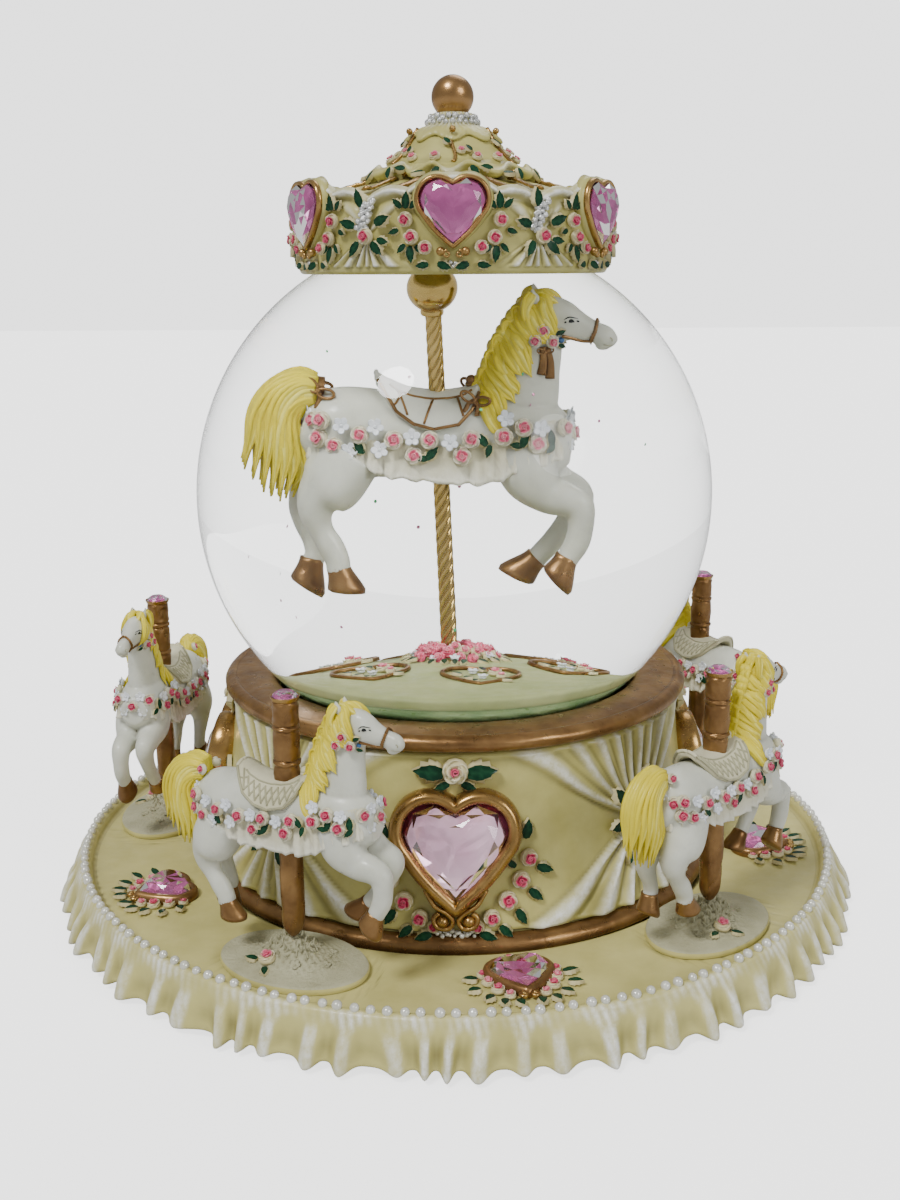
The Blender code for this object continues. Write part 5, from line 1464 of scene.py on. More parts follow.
def add_skirt(shape):
    """The lace skirt: a frilled shell round the trunk with a scalloped edge."""
    columns, rows = 320, 15
    x, y = ring_at(full_turn(columns))
    ahead = np.stack([np.gradient(x), np.gradient(y)], -1)
    out = unit(np.stack([ahead[:, 1], -ahead[:, 0]], -1))
    steps = np.concatenate([[0], np.cumsum(np.hypot(np.diff(x), np.diff(y)))])
    low_x, low_z = zip(*SKIRT_LOW)
    low = np.interp(x, low_x, low_z) + 0.5 * np.sin(steps * 1.25) + 0.45 * np.abs(np.sin(steps * 0.62))
    high = np.interp(x, (-30, -20, 0, 20, 30), (6.2, 4.6, 2.4, 4.4, 5.4))
    rings = []
    for shell in (0.0, 1.0):
        shares = np.linspace(0, 1, rows) if shell == 0 else np.linspace(1, 0, rows)
        for share in shares:
            wave = np.sin(steps * 1.9 + 1.2 * np.sin(steps * 0.31)) + 0.4 * np.sin(steps * 4.4)
            body = -1.5 * (1 - share) ** 2 + 0.25 + 0.5 * share
            grow = body + share ** 1.3 * 0.62 * wave - 0.75 * shell
            fine = 0.13 * np.sin(steps * 7.0 + 9 * share) * np.sin(26 * share)
            z = high * (1 - share) + low * share
            rings.append(np.stack([x + out[:, 0] * (grow + fine), y + out[:, 1] * (grow + fine), z], -1))
    tone = np.linspace(0, 1, rows)[:, None] ** 3 * np.ones(columns)
    tone = np.concatenate([tone, 0 * tone])
    faces = grid_faces(2 * rows, columns, wrap_rows=True, wrap_columns=True)
    shape.add(np.stack(rings), [faces], "lace", tone)


def add_flowers(shape, rose_paints):
    """Roses, white flowers and leaves in a garland over the skirt."""
    rose, flower, leaf = rose_part("lace", "rose", "rose"), flower_part("snow"), leaf_part()
    xs, ys = ring_at(full_turn(GARLAND_STEPS))

    def seat(x, z, side):
        own = np.where(np.sign(ys) == side)[0]
        i = own[np.argmin(np.abs(xs[own] - x))]
        after = (i + 1) % GARLAND_STEPS
        ahead = np.array([xs[after] - xs[i - 1], ys[after] - ys[i - 1]])
        out = unit(np.array([ahead[1], -ahead[0], 0.25 * np.hypot(*ahead)]))
        return frame_at(np.array([xs[i], ys[i], z]) + out * 0.45, out)

    for side in (-1, 1):
        for i, (x, z, kind) in enumerate(FLOWERS):
            place = shifted(seat(x, z, side), spin=1.7 * i + side)
            if kind == "r":
                shape.add_part(rose, place, 2.65 + 0.15 * math.sin(2.0 * i), rose_paints)
            elif kind == "w":
                shape.add_part(flower, place, 2.5)
            else:
                first, second = seat(x, z - 1.0, side), seat(x + 0.6, z - 0.6, side)
                shape.add_part(leaf, shifted(first, z=0.7, spin=0.8 * math.sin(3.0 * i)), 4.0)
                shape.add_part(leaf, shifted(second, z=0.6, spin=2.2 + math.sin(i)), 3.2)
    for y, z, kind in ((-5.2, 3.4, "r"), (0.0, 1.2, "r"), (5.2, 3.4, "r"), (-2.6, 4.6, "w"), (2.6, 4.8, "w"),
                       (-3.2, -0.8, "w"), (3.2, -0.8, "w")):
        for end, lift in ((30.2, 0), (-30.4, 2.0)):
            way = np.sign(end)
            place = frame_at(np.array([end - 0.06 * y * y * way, y, z + lift]), (way, 0.1 * y, 0.1))
            if kind == "r":
                shape.add_part(rose, place, 2.6, rose_paints)
            else:
                shape.add_part(flower, place, 2.3)


# (x, z) along the saddle's ridge and its lower edge
SADDLE_TOP = [(-14.6, 15.4), (-13.2, 14.6), (-11, 13.2), (-7, 11.7), (-3, 11.1), (2, 11.0), (6, 11.6),
              (8.6, 12.8), (9.4, 12.6)]
SADDLE_LOW = [(-14.6, 14.6), (-12.9, 12.2), (-10, 7.4), (-6, 4.6), (-1.3, 3.4), (4.5, 4.4), (7.8, 7.8),
              (9.4, 11.6)]


def saddle_point(x, share, side, lift):
    """A point of the saddle: share runs from its lower edge, 0, to the ridge, 1."""
    top_x, top_z = zip(*SADDLE_TOP)
    low_x, low_z = zip(*SADDLE_LOW)
    high, low = float(np.interp(x, top_x, top_z)), float(np.interp(x, low_x, low_z))
    rise = high - 0.8
    limit = math.acos(np.clip((low - 0.8) / rise, -1, 1))
    turn = limit * (1 - share)
    wide = 9.7 - 0.8 * smooth_step(abs(x + 2.6), 9.0, 12.4)
    return np.array([x, side * (wide + lift) * math.sin(turn), 0.8 + (rise + lift) * math.cos(turn)])


def saddle_line(start, end, side, lift, count):
    """Points on the saddle on a line between two (x, share) places."""
    start, end = np.array(start), np.array(end)
    places = start + (end - start) * np.linspace(0, 1, count)[:, None]
    return np.array([saddle_point(x, share, side, lift) for x, share in places])


def add_saddle(shape, fancy):
    """A saddle with a raised cantle and pommel.  fancy has gilt lines, the other a carved trellis."""
    body, horn, lines = ("white", "bronze", "bronze") if fancy else ("lace", "lace", "disc")
    xs = np.linspace(-14.6, 9.4, 41)
    shares = np.concatenate([np.linspace(0, 1, 14), np.linspace(1, 0, 14)[1:]])
    sides = np.concatenate([-np.ones(14), np.ones(13)])
    grids = []
    for lift in (0.35, -1.6):
        grids.append(np.array([[saddle_point(x, share, side, lift + (0.3 if share == 0 and lift > 0 else 0.0))
                                for share, side in zip(shares, sides)] for x in xs]))
    rings = np.concatenate([grids[0], grids[1][:, ::-1]], axis=1)
    n, m = rings.shape[:2]
    points = np.concatenate([rings.reshape(-1, 3), rings[:1].mean(axis=1), rings[-1:].mean(axis=1)])
    shape.add(points, [grid_faces(n, m, wrap_columns=True), end_caps(n * m, m)], body)
    for side in (-1, 1):
        shape.add(*tube(saddle_line((-14.2, 0.03), (9.2, 0.03), side, 0.45, 46), 0.42, 0.42, 8), lines)
        shape.add(*tube(saddle_line((-11.4, 0.62), (7.6, 0.62), side, 0.4, 34), 0.3, 0.3, 6), lines)
        if fancy:
            for start, end in (((-10.5, 0.1), (-8.4, 0.6)), ((-9.6, 0.6), (-7.4, 0.12)),
                               ((-3.6, 0.08), (-1.4, 0.6)), ((4.2, 0.62), (5.6, 0.1))):
                shape.add(*tube(saddle_line(start, end, side, 0.42, 10), 0.3, 0.3, 6), lines)
        else:
            for i in range(9):
                x = -12.2 + 2.2 * i
                for low, high in ((0.12, 0.54), (0.54, 0.12)):
                    way = saddle_line((x, low), (x + 2.4, high), side, 0.4, 8)
                    shape.add(*tube(way, 0.3, 0.3, 6), lines)
    back = np.array([saddle_point(-14.4, share, side, 0.2) for share, side in zip(shares, sides)])
    shape.add(*tube(back, 0.55, 0.55, 8), body)
    shape.add(*ball(np.array([1.3, 1.5, 1.2]), (7.4, 0, 13.6), 14, 10), horn)
    shape.add(*ball(np.array([1.5, 1.7, 0.7]), (7.4, 0, 12.7), 14, 8), horn)


def add_face(shape, skin, rose_paints, ribbon):
    """Eyes, nostrils, mouth, muzzle band and strap, and the bouquet on each cheek."""
    rose, leaf, bow = rose_part("lace", "rose", "rose"), leaf_part(), bow_part("bronze")
    for side in (-1, 1):
        for path, wide in (
                ([(30.4, 28.2), (31.0, 28.5), (31.7, 28.2)], 0.42), ([(29.3, 28.0), (29.9, 28.3)], 0.2),
                ([(32.2, 28.4), (32.9, 28.1)], 0.2), ([(29.2, 28.7), (30.6, 29.4), (32.6, 28.9)], 0.14)):
            s = skin.line(path, side, 0.04, 9)
            taper = wide * (0.25 + np.sin(math.pi * np.linspace(0, 1, 9)))
            shape.add(*tube(s, taper, 0.16, 6), "black")
        nostril = skin.line([(40.1, 24.3), (40.6, 23.9), (40.5, 23.4)], side, 0.0, 6)
        shape.add(*tube(nostril, 0.2, 0.12, 6), "disc")
        mouth = skin.line([(38.4, 22.4), (39.6, 22.2), (40.6, 22.0)], side, 0.0, 6)
        shape.add(*tube(mouth, 0.12, 0.12, 6), "disc")
        band = skin.line([(36.9, 27.2), (36.6, 25.9), (35.8, 24.3), (35.1, 22.5)], side, 0.25, 16)
        beads = 1 + 0.22 * np.cos(np.arange(16) * math.pi)
        shape.add(*tube(band, 0.48 * beads, 0.4 * beads, 8), "bronze")
        strap = skin.line([(35.4, 23.2), (33.2, 23.2), (30.8, 23.9), (28.6, 24.6)], side, 0.2, 14)
        shape.add(*tube(strap, 0.42, 0.3, 8), "bronze")
        for i, (x, z) in enumerate(((24.3, 26.3), (22.4, 23.7), (25.9, 23.5))):
            shape.add_part(rose, skin.frame(x, z, side, 0.9, spin=2 * i), 1.95, rose_paints)
        shape.add_part(leaf, skin.frame(27.0, 25.4, side, 0.7, spin=1.2 * side), 2.6)
        shape.add_part(leaf, skin.frame(27.2, 22.6, side, 0.7, spin=2.0 * side), 2.2)
        shape.add(*ball(np.array([0.8, 0.5, 0.7]), skin.at(28.2, 23.6, side, 0.4)[0], 10, 7), "blue")
        if ribbon:
            for start, end in (((24.0, 22.2), (23.6, 15.6)), ((25.0, 22.2), (25.4, 14.6))):
                tail = skin.line([start, ((start[0] + end[0]) / 2 + 0.3, 18.6), end], side, 0.5, 12)
                shape.add(*tube(tail, np.linspace(0.75, 1.15, 12), 0.35, 8), "bronze")
            shape.add_part(bow, skin.frame(24.5, 21.0, side, 0.4), 1.9)
    top = np.array([skin.at(36.9, 27.2, -1, 0.25)[0], (37.1, 0, 28.3), skin.at(36.9, 27.2, 1, 0.25)[0]])
    shape.add(*tube(spline(top, 9), 0.42, 0.42, 8), "bronze")


def hoof(side, fetlock, sole, toe):
    """A flared hoof that comes to a point at its toe."""
    s = np.linspace(0, 1, 9)
    start, end = np.array([fetlock[0], side, fetlock[1]]), np.array([sole[0], side, sole[1]])
    path = start + (end - start) * s[:, None]
    radius = 2.75 + 1.15 * smooth_step(s, 0.05, 0.9) - 0.5 * smooth_step(s, 0.93, 1.0)
    points, faces = tube(path, radius, radius * 0.94, 20)
    way = unit(end - start)
    toe = np.array([toe[0], 0, toe[1]])
    toe = unit(toe - way * float(way @ toe))
    forward = (points - start) @ toe
    along = np.clip((points - start) @ way / np.linalg.norm(end - start), 0, 1)
    down = (forward * 0.42 * along ** 2)[:, None] * way
    return points + down + (np.maximum(forward, 0) * 0.20 * along ** 2)[:, None] * toe, faces


def horse_shape(skin_mesh, fancy):
    """All of a horse in local millimetres.  The fancy one is in the globe."""
    points, quads = skin_mesh
    skin = Skin(points, quads)
    shape = Shape()
    shape.add(points, [np.array([q for q in quads if len(q) == 4])], "white")
    for parts in HOOVES:
        shape.add(*hoof(*parts), "bronze")
    rose_paints = {"rose": "pink"} if fancy else None
    add_mane(shape, skin)
    add_tail(shape)
    add_skirt(shape)
    add_flowers(shape, rose_paints)
    add_saddle(shape, fancy)
    add_face(shape, skin, rose_paints, fancy)
    if fancy:
        bow = bow_part("bronze")
        for side in (-1, 1):
            place = saddle_point(8.2, 0.1, side, 0.9)
            shape.add_part(bow, frame_at(place, (0, side, 0.15), spin=0.3 * side), 3.4)
        for side in (-1, 1):
            shape.add_part(bow, frame_at((-28.0, side * 2.4, 11.6), (-0.2, side, 0.3), spin=0.5 * side), 3.8)
        cuff = spline([(-26.5, 0, 12.2), (-29.0, 0, 12.4), (-32.0, 0, 11.6)], 10)
        shape.add(*tube(cuff, 2.3, 2.6, 14), "bronze")
    else:
        rose = rose_part("lace", "rose", "rose")
        for side in (-1, 1):
            shape.add_part(rose, frame_at((-27.5, side * 3.2, 12.2), (-0.3, side, 0.4)), 2.0)
    return shape


def place_horse(shape, name, node, body, matrix, scale):
    """A finished horse, put on its pole or post."""
    placed = Shape()
    placed.points = [(points * scale) @ matrix[:3, :3].T + matrix[:3, 3] for points in shape.points]
    placed.tones, placed.faces, placed.count = shape.tones, shape.faces, shape.count
    placed.piece(name, body, [node])


def make_horses():
    """The horse in the globe, on its leaning pole, and the five on the platform."""
    skin_mesh = horse_skin()
    along = (GLOBE_HORSE_Z - POLE_FOOT[2]) / (POLE_TOP[2] - POLE_FOOT[2])
    x = POLE_FOOT[0] + along * (POLE_TOP[0] - POLE_FOOT[0])
    globe = turn_z(0.0, float(x), 0.0, GLOBE_HORSE_Z)
    large = horse_shape(skin_mesh, True)
    place_horse(large, "globe_horse_white", "globe_horse", "root", globe, GLOBE_HORSE_SCALE)
    small = horse_shape(skin_mesh, False)
    for k in range(HORSE_COUNT):
        seat = platform_seat(k, SIDE_HORSE_Z)
        seat = seat @ np.array(Matrix.Rotation(SIDE_HORSE_PITCH, 4, "Y"))
        place_horse(small, f"carousel_horse_{k + 1}", f"horse_{k + 1}", "platform", seat, SIDE_HORSE_SCALE)


# ---------------------------------------------------------------- globe

def make_globe():
    """The glass and the water it is filled with bend light as one clear ball."""
    lip = math.asin(NECK_R / GLOBE_R)
    outer = [(GLOBE_R * math.sin(t), GLOBE_Z + GLOBE_R * math.cos(t))
             for t in np.linspace(0, math.pi - lip, 150)]
    foot = outer[-1][1]
    filled = Shape()
    filled.add(*lathe([*outer, (NECK_R - 4.0, foot), (0.0, foot)], GLASS_COLUMNS), "glass")
    filled.piece("globe_filled_with_water", "root", ["globe_glass"])


FLOOR_HEART_R = 21.4
FLOOR_HEARTS = 6


def floor_height(radius):
    """Height of the domed floor at a radius."""
    heights = (FLOOR_TOP + 0.4, FLOOR_TOP + 0.2, 64.9, 62.5, 59.8)
    return float(np.interp(radius, (0, 5, 14, 28, 39.8), heights))


def make_globe_floor():
    """The domed floor over a mossy edge, with its wreath of roses and gold hearts."""
    top = [(r, floor_height(r)) for r in np.linspace(0, 39.4, 26)]
    edge = rounded([(40.0, 59.5), (40.4, 58.9), (40.4, 57.8), (40.2, 56.4)], 3)
    moss = rounded([(41.4, 56.0), (42.9, 55.2), (43.3, 54.2), (42.2, 52.9), (39.0, 51.8)], 3)

    def change(angle, radius, height):
        rough = 0.10 * np.sin(9 * angle + radius * 0.7) * np.sin(radius * 0.45 + 3 * np.sin(2 * angle))
        grit = 0.16 * np.sin(71 * angle + 5 * height) * np.sin(113 * angle - 7 * height)
        upper = smooth_step(height, 56.2, 57.0)
        return radius + grit * (1 - upper), height + rough * smooth_step(radius, 2.0, 12.0) * upper

    profile = np.array([*top, *edge, *moss, (36.4, 51.3), (0, 51.3)])
    points, (sides, caps) = lathe(profile, FLOOR_COLUMNS, change)
    row = np.repeat(np.arange(len(profile) - 3), FLOOR_COLUMNS)
    mossy = row >= len(top) + len(edge) - 2
    shape = Shape()
    shape.add(points, [sides[~mossy], caps], "floor")
    shape.faces.append((sides[mossy], "moss", True))
    ornaments = rose_part("petal", "pink", "pink"), leaf_part(), flower_part("snow")
    add_floor_wreath(shape, *ornaments)
    add_floor_hearts(shape, *ornaments)
    shape.piece("globe_flower_floor", "root", ["globe_floor"])


def add_floor_wreath(shape, rose, leaf, flower):
    """A heap of roses round the pole's foot, with leaves and white flowers at its edge."""
    full = rose_part("pink", "pink", "pink")
    for i in range(34):
        turn = 2.4 * i
        reach = 2.2 + 5.0 * math.sqrt((i + 0.5) / 34)
        lift = FLOOR_TOP + 2.3 - 0.22 * (reach - 2.2) - 0.8 * (reach > 6.0)
        place = wall_frame(turn, lift, reach, 1.0 - 0.06 * reach)
        shape.add_part(full if i % 4 else rose, shifted(place, spin=1.9 * i), 1.35 + 0.12 * math.sin(3.0 * i))
    for i in range(20):
        turn = 2 * math.pi * i / 20 + 0.1 * math.sin(5 * i)
        place = wall_frame(turn, FLOOR_TOP + 0.5 + 0.2 * math.sin(3 * i), 7.9 + 0.4 * math.sin(2 * i), 1.2)
        shape.add_part(leaf, shifted(place, spin=math.pi + 0.5 * math.sin(4 * i)), 2.2)
        if i % 3 == 0:
            shape.add_part(flower, shifted(place, y=0.5), 1.2)


def add_floor_hearts(shape, rose, leaf, flower):
    """Heart outlines that lie on the dome, each filled with flowers."""
    section = [(-0.45, -0.1), (-0.35, 0.45), (0.0, 0.6), (0.35, 0.45), (0.45, -0.1)]
    for k in range(FLOOR_HEARTS):
        turn = math.radians(13.0 + 60.0 * k)
        slope = math.radians(80.0)
        seat = wall_frame(turn, floor_height(FLOOR_HEART_R) + 0.1, FLOOR_HEART_R, slope)
        shape.add_part(solid(swept_heart(14.5, 13.0, section, 70), "bronze"), seat)
        blooms = ((2.6, 1.8, 1.6), (-1.5, 2.6, 1.35), (3.9, -0.6, 1.2), (0.4, -1.4, 1.3))
        for i, (x, y, size) in enumerate(blooms):
            shape.add_part(rose if i % 2 == 0 else flower, shifted(seat, x, y, 0.3, spin=2 * i), size)
        for x, y, spin in ((-3.4, 0.6, 1.2), (-1.6, -1.2, 2.4), (4.2, -2.6, -2.2), (0.6, 4.0, 0.4),
                           (-0.6, -3.4, 2.9)):
            shape.add_part(leaf, shifted(seat, x, y, 0.25, spin=spin), 2.4)


def make_glitter():
    """A few flakes that drift in the water, at least 6 mm inside the glass."""
    flake = ball(np.array([0.34, 0.34, 0.05]), (0, 0, 0), 6, 4)
    shape = Shape()
    for i in range(26):
        height = 72.0 + 56.0 * ((i * 0.61) % 1.0)
        room = math.sqrt(max((GLOBE_R - 6) ** 2 - (height - GLOBE_Z) ** 2, 1.0))
        reach = min(12.0 + 34.0 * ((i * 0.37) % 1.0), room)
        place = wall_frame(2.4 * i, height, reach, 0.3 * math.sin(i), spin=i)
        shape.add_part(solid(flake, "glitter" if i % 3 else "green_glitter"), place)
    shape.piece("globe_glitter", "root", ())


def make_pole():
    """The pole, six ridges twisted once round in each pitch."""
    path = POLE_FOOT + (POLE_TOP - POLE_FOOT) * np.linspace(0, 1, 240)[:, None]
    turns = -2 * math.pi * float(np.linalg.norm(POLE_TOP - POLE_FOOT)) / POLE_PITCH

    def rope(share, angle):
        return 0.84 + 0.19 * np.sqrt(np.abs(np.cos(3 * (angle - turns * share))))

    shape = Shape()
    shape.add(*tube(path, POLE_R, POLE_R, 48, outline=rope, twist=turns), "brass")
    shape.piece("twisted_brass_pole", "root", ["horse_pole"])


def make_pole_ball():
    """The brass ball on the pole and the collar under it."""
    low, high = node_box("pole_ball")
    centre = (low + high) / 2
    shape = Shape()
    points, faces = lathe(ball_profile(BALL_R, 0.0, 48), 72)
    shape.add(points + centre, faces, "brass")
    collar = rounded([(1.6, -5.3), (2.0, -5.1), (2.1, -4.5), (1.9, -4.0), (1.4, -4.0)], 3)
    points, faces = turned(collar, 40)
    shape.add(points + centre, [faces], "brass")
    shape.piece("brass_pole_ball", "root", ["pole_ball"])


# ---------------------------------------------------------------- discs and posts

DISC_LONG, DISC_WIDE = 16.4, 11.3
DISC_LOW, DISC_HIGH = 9.8, 11.4
MOUND_R = 5.0
TUFT_COUNT = 22
BLADE_COUNT = 40


def disc_height(x, y):
    """The grassy mound round the post, on a low dome."""
    away = np.hypot(x / 1.15, y)
    rough = np.sin(3.1 * x + 1.3 * y) * np.sin(2.7 * y - 0.8 * x)
    rough = rough + 0.6 * np.sin(5.3 * x - 2.0 * y) * np.sin(4.1 * y)
    mound = (MOUND_TOP - DISC_HIGH - 0.4) * np.exp(-(away / MOUND_R) ** 2)
    edge = np.hypot(x / DISC_LONG, y / DISC_WIDE)
    return DISC_HIGH - 0.3 + 0.55 * (1 - edge ** 2) + mound + 0.34 * rough * np.exp(-(away / 6.2) ** 2)


def disc_part():
    """The oval disc: a rough dome with a smooth painted rim."""
    turn = full_turn(DISC_COLUMNS)

    def oval(share, drop=0.0, height=None):
        x, y = DISC_LONG * share * np.cos(turn), DISC_WIDE * share * np.sin(turn)
        z = disc_height(x, y) - drop if height is None else np.full(len(turn), height)
        return np.stack([x, y, z], -1)

    floor = DISC_LOW - 0.15
    shares = np.concatenate([np.linspace(0.02, 0.96, 48), [0.975, 0.99, 1.0]])
    drops = np.concatenate([np.zeros(48), [0.05, 0.25, 0.6]])
    rings = [oval(share, drop) for share, drop in zip(shares, drops)]
    rings += [oval(1.004, height=DISC_LOW + 0.5), oval(0.99, height=floor), oval(0.02, height=floor)]
    n = len(rings)
    points = np.concatenate([*rings, [[0, 0, float(disc_height(0.0, 0.0))], [0, 0, floor]]])
    faces = grid_faces(n, DISC_COLUMNS, wrap_columns=True)
    row = np.repeat(np.arange(n - 1), DISC_COLUMNS)
    rim = (row >= len(shares) - 2) & (row < n - 2)
    caps = end_caps(n * DISC_COLUMNS, DISC_COLUMNS)
    return [(points, [faces[~rim], caps], "disc", 0.0), (points, [faces[rim]], "deck", 0.0)]


def make_discs():
    """The discs with small flowers, blades of grass, a rose and two leaves on each mound."""
    disc = disc_part()
    rose, leaf, flower = rose_part("petal", "pink", "rose"), leaf_part(), flower_part("disc")
    for k in range(HORSE_COUNT):
        seat = platform_seat(k, 0.0)
        shape = Shape()
        shape.add_part(disc, seat)

        def place(x, y, lift, spin=0.0, seat=seat):
            slope_x = float(disc_height(x + 0.3, y) - disc_height(x - 0.3, y)) / 0.6 * 0.5
            slope_y = float(disc_height(x, y + 0.3) - disc_height(x, y - 0.3)) / 0.6 * 0.5
            height = 11.2 + 4.0 * math.exp(-(math.hypot(x / 1.15, y) / MOUND_R) ** 2)
            return seat @ frame_at((x, y, height + lift), (-slope_x, -slope_y, 1.0), up=(0, 1, 0), spin=spin)

        for i in range(TUFT_COUNT):
            turn = 2.4 * i + 0.6 * k
            reach = 2.7 + 5.4 * math.sqrt((i + 0.5) / TUFT_COUNT)
            x, y = 1.2 * reach * math.cos(turn), 0.8 * reach * math.sin(turn)
            shape.add_part(flower, place(x, y, -0.1, i), 1.15 + 0.3 * math.sin(2.0 * i))
        for i in range(BLADE_COUNT):
            turn = 0.7 + 1.1 * i
            reach = 2.2 + 3.2 * ((i * 0.618) % 1.0)
            x, y = 1.1 * reach * math.cos(turn), 0.85 * reach * math.sin(turn)
            foot = (seat @ [x, y, 11.8 + 3.4 * math.exp(-(reach / MOUND_R) ** 2), 1])[:3]
            lean = (seat @ [0.3 * math.sin(5 * i), 0.3 * math.cos(7 * i), 0, 0])[:3]
            blade = np.array([foot, foot + lean + [0, 0, 0.9], foot + 2.4 * lean + [0, 0, 1.6]])
            shape.add(*tube(spline(blade, 6), np.linspace(0.32, 0.06, 6), None, 5), "disc")
        shape.add_part(rose, place(-2.9, -5.4, 0.6, 0.8), 2.15)
        shape.add_part(leaf, shifted(place(-5.0, -5.6, 0.5), spin=1.75), 2.7)
        shape.add_part(leaf, shifted(place(-2.3, -7.2, 0.4), spin=-2.6), 2.7)
        shape.piece(f"flower_mound_{k + 1}", "platform", [f"horse_disc_{k + 1}"])


def post_profile():
    """(height, radius) down a post: two ring grooves above the saddle, a rough wrapped lower part."""
    return spline([
        (POST_TOP, 2.45), (65.4, 2.62), (64.2, 2.55), (62.6, 2.60), (61.6, 2.62), (61.2, 2.42), (60.9, 2.68),
        (60.5, 2.72), (60.1, 2.46), (59.4, 2.58), (57.0, 2.66), (54.6, 2.60), (54.2, 2.40), (53.9, 2.70),
        (53.4, 2.78), (52.9, 2.46), (52.0, 2.58), (50.0, 2.5), (46.0, 2.4), (40.0, 2.3), (34.0, 2.35),
        (28.0, 2.42), (22.0, 2.34), (18.6, 2.1), (16.8, 1.3), (POST_FOOT, 0.6),
    ], 190)


def post_wrapping(share, angle):
    """How a post's section differs from a circle: facets and creases below, small dents all over."""
    height = POST_TOP + share * (POST_FOOT - POST_TOP)
    lower = smooth_step(height, 37.0, 33.0)
    facets = 0.055 * np.cos(3 * angle + 0.22 * height) + 0.03 * np.cos(5 * angle - 0.4 * height)
    crease = 0.0
    for where, lean, turn in ((29.0, 1.3, 0.3), (26.6, -1.1, 2.0), (22.4, 1.6, 4.1), (31.6, -0.9, 5.0)):
        near = (height - where - lean * np.sin(angle - turn)) / 0.42
        crease = crease - 0.10 * np.exp(-near ** 2) * (0.5 + 0.5 * np.cos(angle - turn - 0.6))
    dents = 0.018 * np.sin(4 * angle + 1.7 * height) + 0.012 * np.sin(7 * angle - 2.3 * height)
    return 1 + lower * (facets + crease) + dents * (1 - 0.4 * lower)


def rhinestone_part():
    """A round cut stone of twelve sides on a foil lens."""
    sides = 12
    levels = ((1.75, 66.15, 0.0), (2.68, 66.85, 0.0), (2.25, 67.45, 0.5), (1.85, 67.75, 0.0),
              (1.45, 68.0, 0.5))
    rings = []
    for radius, height, offset in levels:
        turn = full_turn(sides) + offset * 2 * math.pi / sides
        rings.append(np.stack([radius * np.cos(turn), radius * np.sin(turn), np.full(sides, height)], -1))
    points = np.concatenate([*rings, [[0, 0, levels[0][1]], [0, 0, levels[-1][1]]]])
    quads = grid_faces(len(levels), sides, wrap_columns=True)
    girdle, upper = quads[:sides], quads[sides:]
    facets = [girdle, upper[:, [0, 1, 3]], upper[:, [1, 2, 3]], end_caps(len(levels) * sides, sides)]
    foil = ball(np.array([2.2, 2.2, 0.55]), (0, 0, 66.8), 12, 6)
    return [(points, facets, "gem", 0.0), *solid(foil, "foil")]


def make_posts():
    """The five posts, each with a rhinestone in a gold cup on its top."""
    heights, radii = post_profile().T
    path = np.stack([0 * heights, 0 * heights, heights], -1)
    shaft = solid(tube(path, radii, None, 40, outline=post_wrapping), "bronze")
    cup_points, cup_faces = turned(rounded([
        (1.9, 65.6), (2.5, 66.1), (2.86, 66.8), (2.9, 67.05), (2.74, 67.0), (2.5, 66.7), (2.1, 66.1),
        (1.5, 65.9),
    ], 3), 48)
    cup = solid((cup_points, [cup_faces]), "gold")
    stone = rhinestone_part()
    for k in range(HORSE_COUNT):
        seat = platform_seat(k, 0.0)
        post = Shape()
        post.add_part(shaft + cup, shifted(seat, spin=0.7 * k))
        standing = post.piece(f"bronze_post_{k + 1}", "platform", [f"horse_post_{k + 1}"])
        gem = Shape()
        add_flat(gem, stone, seat)
        jewel = gem.piece(f"post_rhinestone_{k + 1}", "platform", [f"post_gem_{k + 1}"])
        if k == BACK_HORSE:
            # the water would show this post's top low in the globe, where nothing is to be seen
            standing.visible_transmission = False
            jewel.visible_transmission = False


# ---------------------------------------------------------------- inner parts, which keep their CAD meshes

# nodes by finish
CAD_FINISHES = {
    "plastic": ("base_pan",),
    "rubber": ("globe_stopper",),
    "nylon": ("glide_ring", "ring_gear", "drive_shaft"),
    "steel": ("winding_key", "comb", "governor_worm"),
    "works": ("great_wheel", "spring_barrel", "movement_plate", "music_cylinder", "governor_wheel",
              "governor_bracket"),
}


def paint_cad():
    for paint, nodes in CAD_FINISHES.items():
        for node in nodes:
            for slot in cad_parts[node].material_slots:
                slot.material = PAINTS[paint]


# ---------------------------------------------------------------- camera, floor and light

# how bright the background is where it is seen, and how much of that the lamps give the floor
BACKDROP = 3.0
FLOOR_LIT = 1.0
SKY_LIGHT = 0.38
FLOOR_HALF = 3.0
AIM = Vector((0, 0, 0.09))
# sun lamps: name, direction they shine from, apparent size in degrees, strength
LAMPS = (
    ("key_light", (-0.40, -0.50, 0.95), 14.0, 2.45),
    ("fill_light", (0.75, -0.65, 0.55), 24.0, 1.0),
    ("back_light", (0.2, 0.7, 0.9), 30.0, 0.6),
)
CAMERA_PLACE = (0.0002, -0.3148, 0.1474)
CAMERA_LENS = 40.28
CAMERA_YAW, CAMERA_TILT, CAMERA_ROLL = math.radians(0.24), math.radians(76.04), math.radians(-0.29)


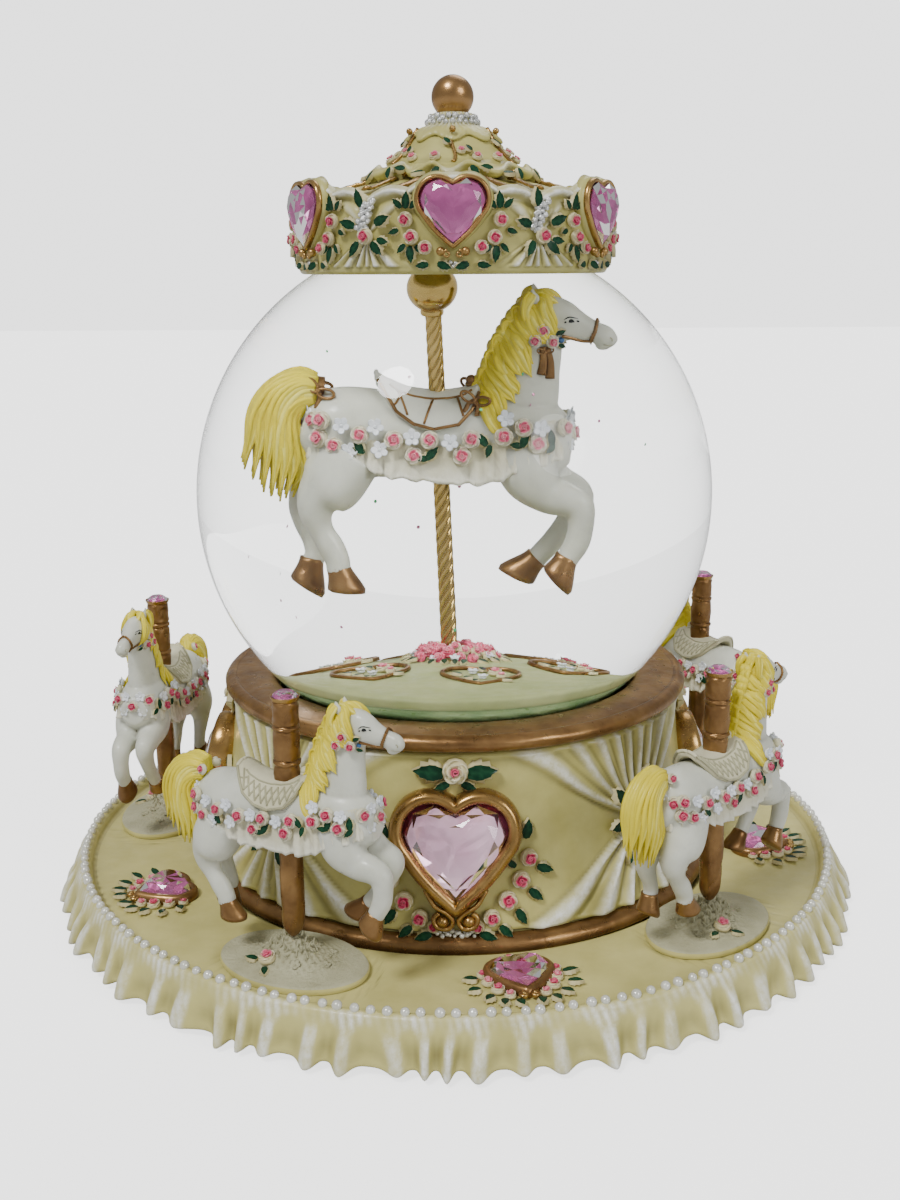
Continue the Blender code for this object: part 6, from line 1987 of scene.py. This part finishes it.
def seen_only(nodes, links, otherwise, seen):
    """One shader where it is seen, straight or through glass, and another for the light it gives."""
    path = nodes.new("ShaderNodeLightPath")
    straight = add_node(nodes, "ShaderNodeMath", operation="MAXIMUM")
    links.new(path.outputs["Is Camera Ray"], straight.inputs[0])
    links.new(path.outputs["Is Transmission Ray"], straight.inputs[1])
    bounces = add_node(nodes, "ShaderNodeMath", operation="ADD")
    links.new(path.outputs["Diffuse Depth"], bounces.inputs[0])
    links.new(path.outputs["Glossy Depth"], bounces.inputs[1])
    sight = add_node(nodes, "ShaderNodeMath", operation="SUBTRACT", use_clamp=True)
    links.new(straight.outputs[0], sight.inputs[0])
    links.new(bounces.outputs[0], sight.inputs[1])
    either = nodes.new("ShaderNodeMixShader")
    links.new(sight.outputs[0], either.inputs[0])
    links.new(otherwise, either.inputs[1])
    links.new(seen, either.inputs[2])
    return either.outputs[0]


def make_world():
    """A dim even sky for light, and a bright one where it is seen."""
    world = bpy.data.worlds.new("studio")
    world.use_nodes = True
    nodes, links = world.node_tree.nodes, world.node_tree.links
    dim = nodes["Background"]
    dim.inputs["Color"].default_value = (1.0, 1.0, 1.0, 1.0)
    dim.inputs["Strength"].default_value = SKY_LIGHT
    bright = add_node(nodes, "ShaderNodeBackground", Strength=BACKDROP)
    either = seen_only(nodes, links, dim.outputs[0], bright.outputs[0])
    links.new(either, nodes["World Output"].inputs["Surface"])
    bpy.context.scene.world = world


def make_floor():
    """A pale floor that merges with the backdrop and takes the soft shadow."""
    paint, nodes, links = new_material("studio_floor")
    dull = nodes["Principled BSDF"]
    dull.inputs["Base Color"].default_value = (0.62, 0.62, 0.62, 1.0)
    dull.inputs["Roughness"].default_value = 0.8
    dull.inputs["Specular IOR Level"].default_value = 0.1
    glow = add_node(nodes, "ShaderNodeEmission", Strength=BACKDROP - FLOOR_LIT)
    lifted = nodes.new("ShaderNodeAddShader")
    links.new(dull.outputs[0], lifted.inputs[0])
    links.new(glow.outputs[0], lifted.inputs[1])
    either = seen_only(nodes, links, dull.outputs[0], lifted.outputs[0])
    links.new(either, nodes["Material Output"].inputs["Surface"])
    mesh = bpy.data.meshes.new("studio_floor")
    corners = [(x * FLOOR_HALF, y * FLOOR_HALF, 0) for x, y in ((-1, -1), (1, -1), (1, 1), (-1, 1))]
    mesh.from_pydata(corners, [], [(0, 1, 2, 3)])
    mesh.materials.append(paint)
    return new_object("studio_floor", mesh)


def make_lamp(name, place, spread, power):
    lamp = bpy.data.lights.new(name, "SUN")
    lamp.angle = math.radians(spread)
    lamp.energy = power
    obj = new_object(name, lamp)
    obj.location = place
    obj.rotation_euler = (AIM - Vector(place)).to_track_quat("-Z", "Y").to_euler()
    return obj


def make_stage():
    make_world()
    lamps = [make_floor(), *[make_lamp(*lamp) for lamp in LAMPS]]


def make_camera():
    camera = bpy.data.cameras.new("camera")
    camera.lens = CAMERA_LENS
    camera.sensor_width = 36.0
    obj = new_object("camera", camera)
    turn = Matrix.Rotation(CAMERA_YAW, 4, "Z") @ Matrix.Rotation(CAMERA_TILT, 4, "X")
    obj.matrix_world = Matrix.Translation(CAMERA_PLACE) @ turn @ Matrix.Rotation(CAMERA_ROLL, 4, "Z")
    bpy.context.scene.camera = obj


PAINTS = make_materials()
make_platform()
make_platform_gems()
make_drum()
make_rim_ring()
make_crown()
make_globe()
make_globe_floor()
make_glitter()
make_pole()
make_pole_ball()
make_discs()
make_posts()
make_horses()
paint_cad()
make_stage()
make_camera()
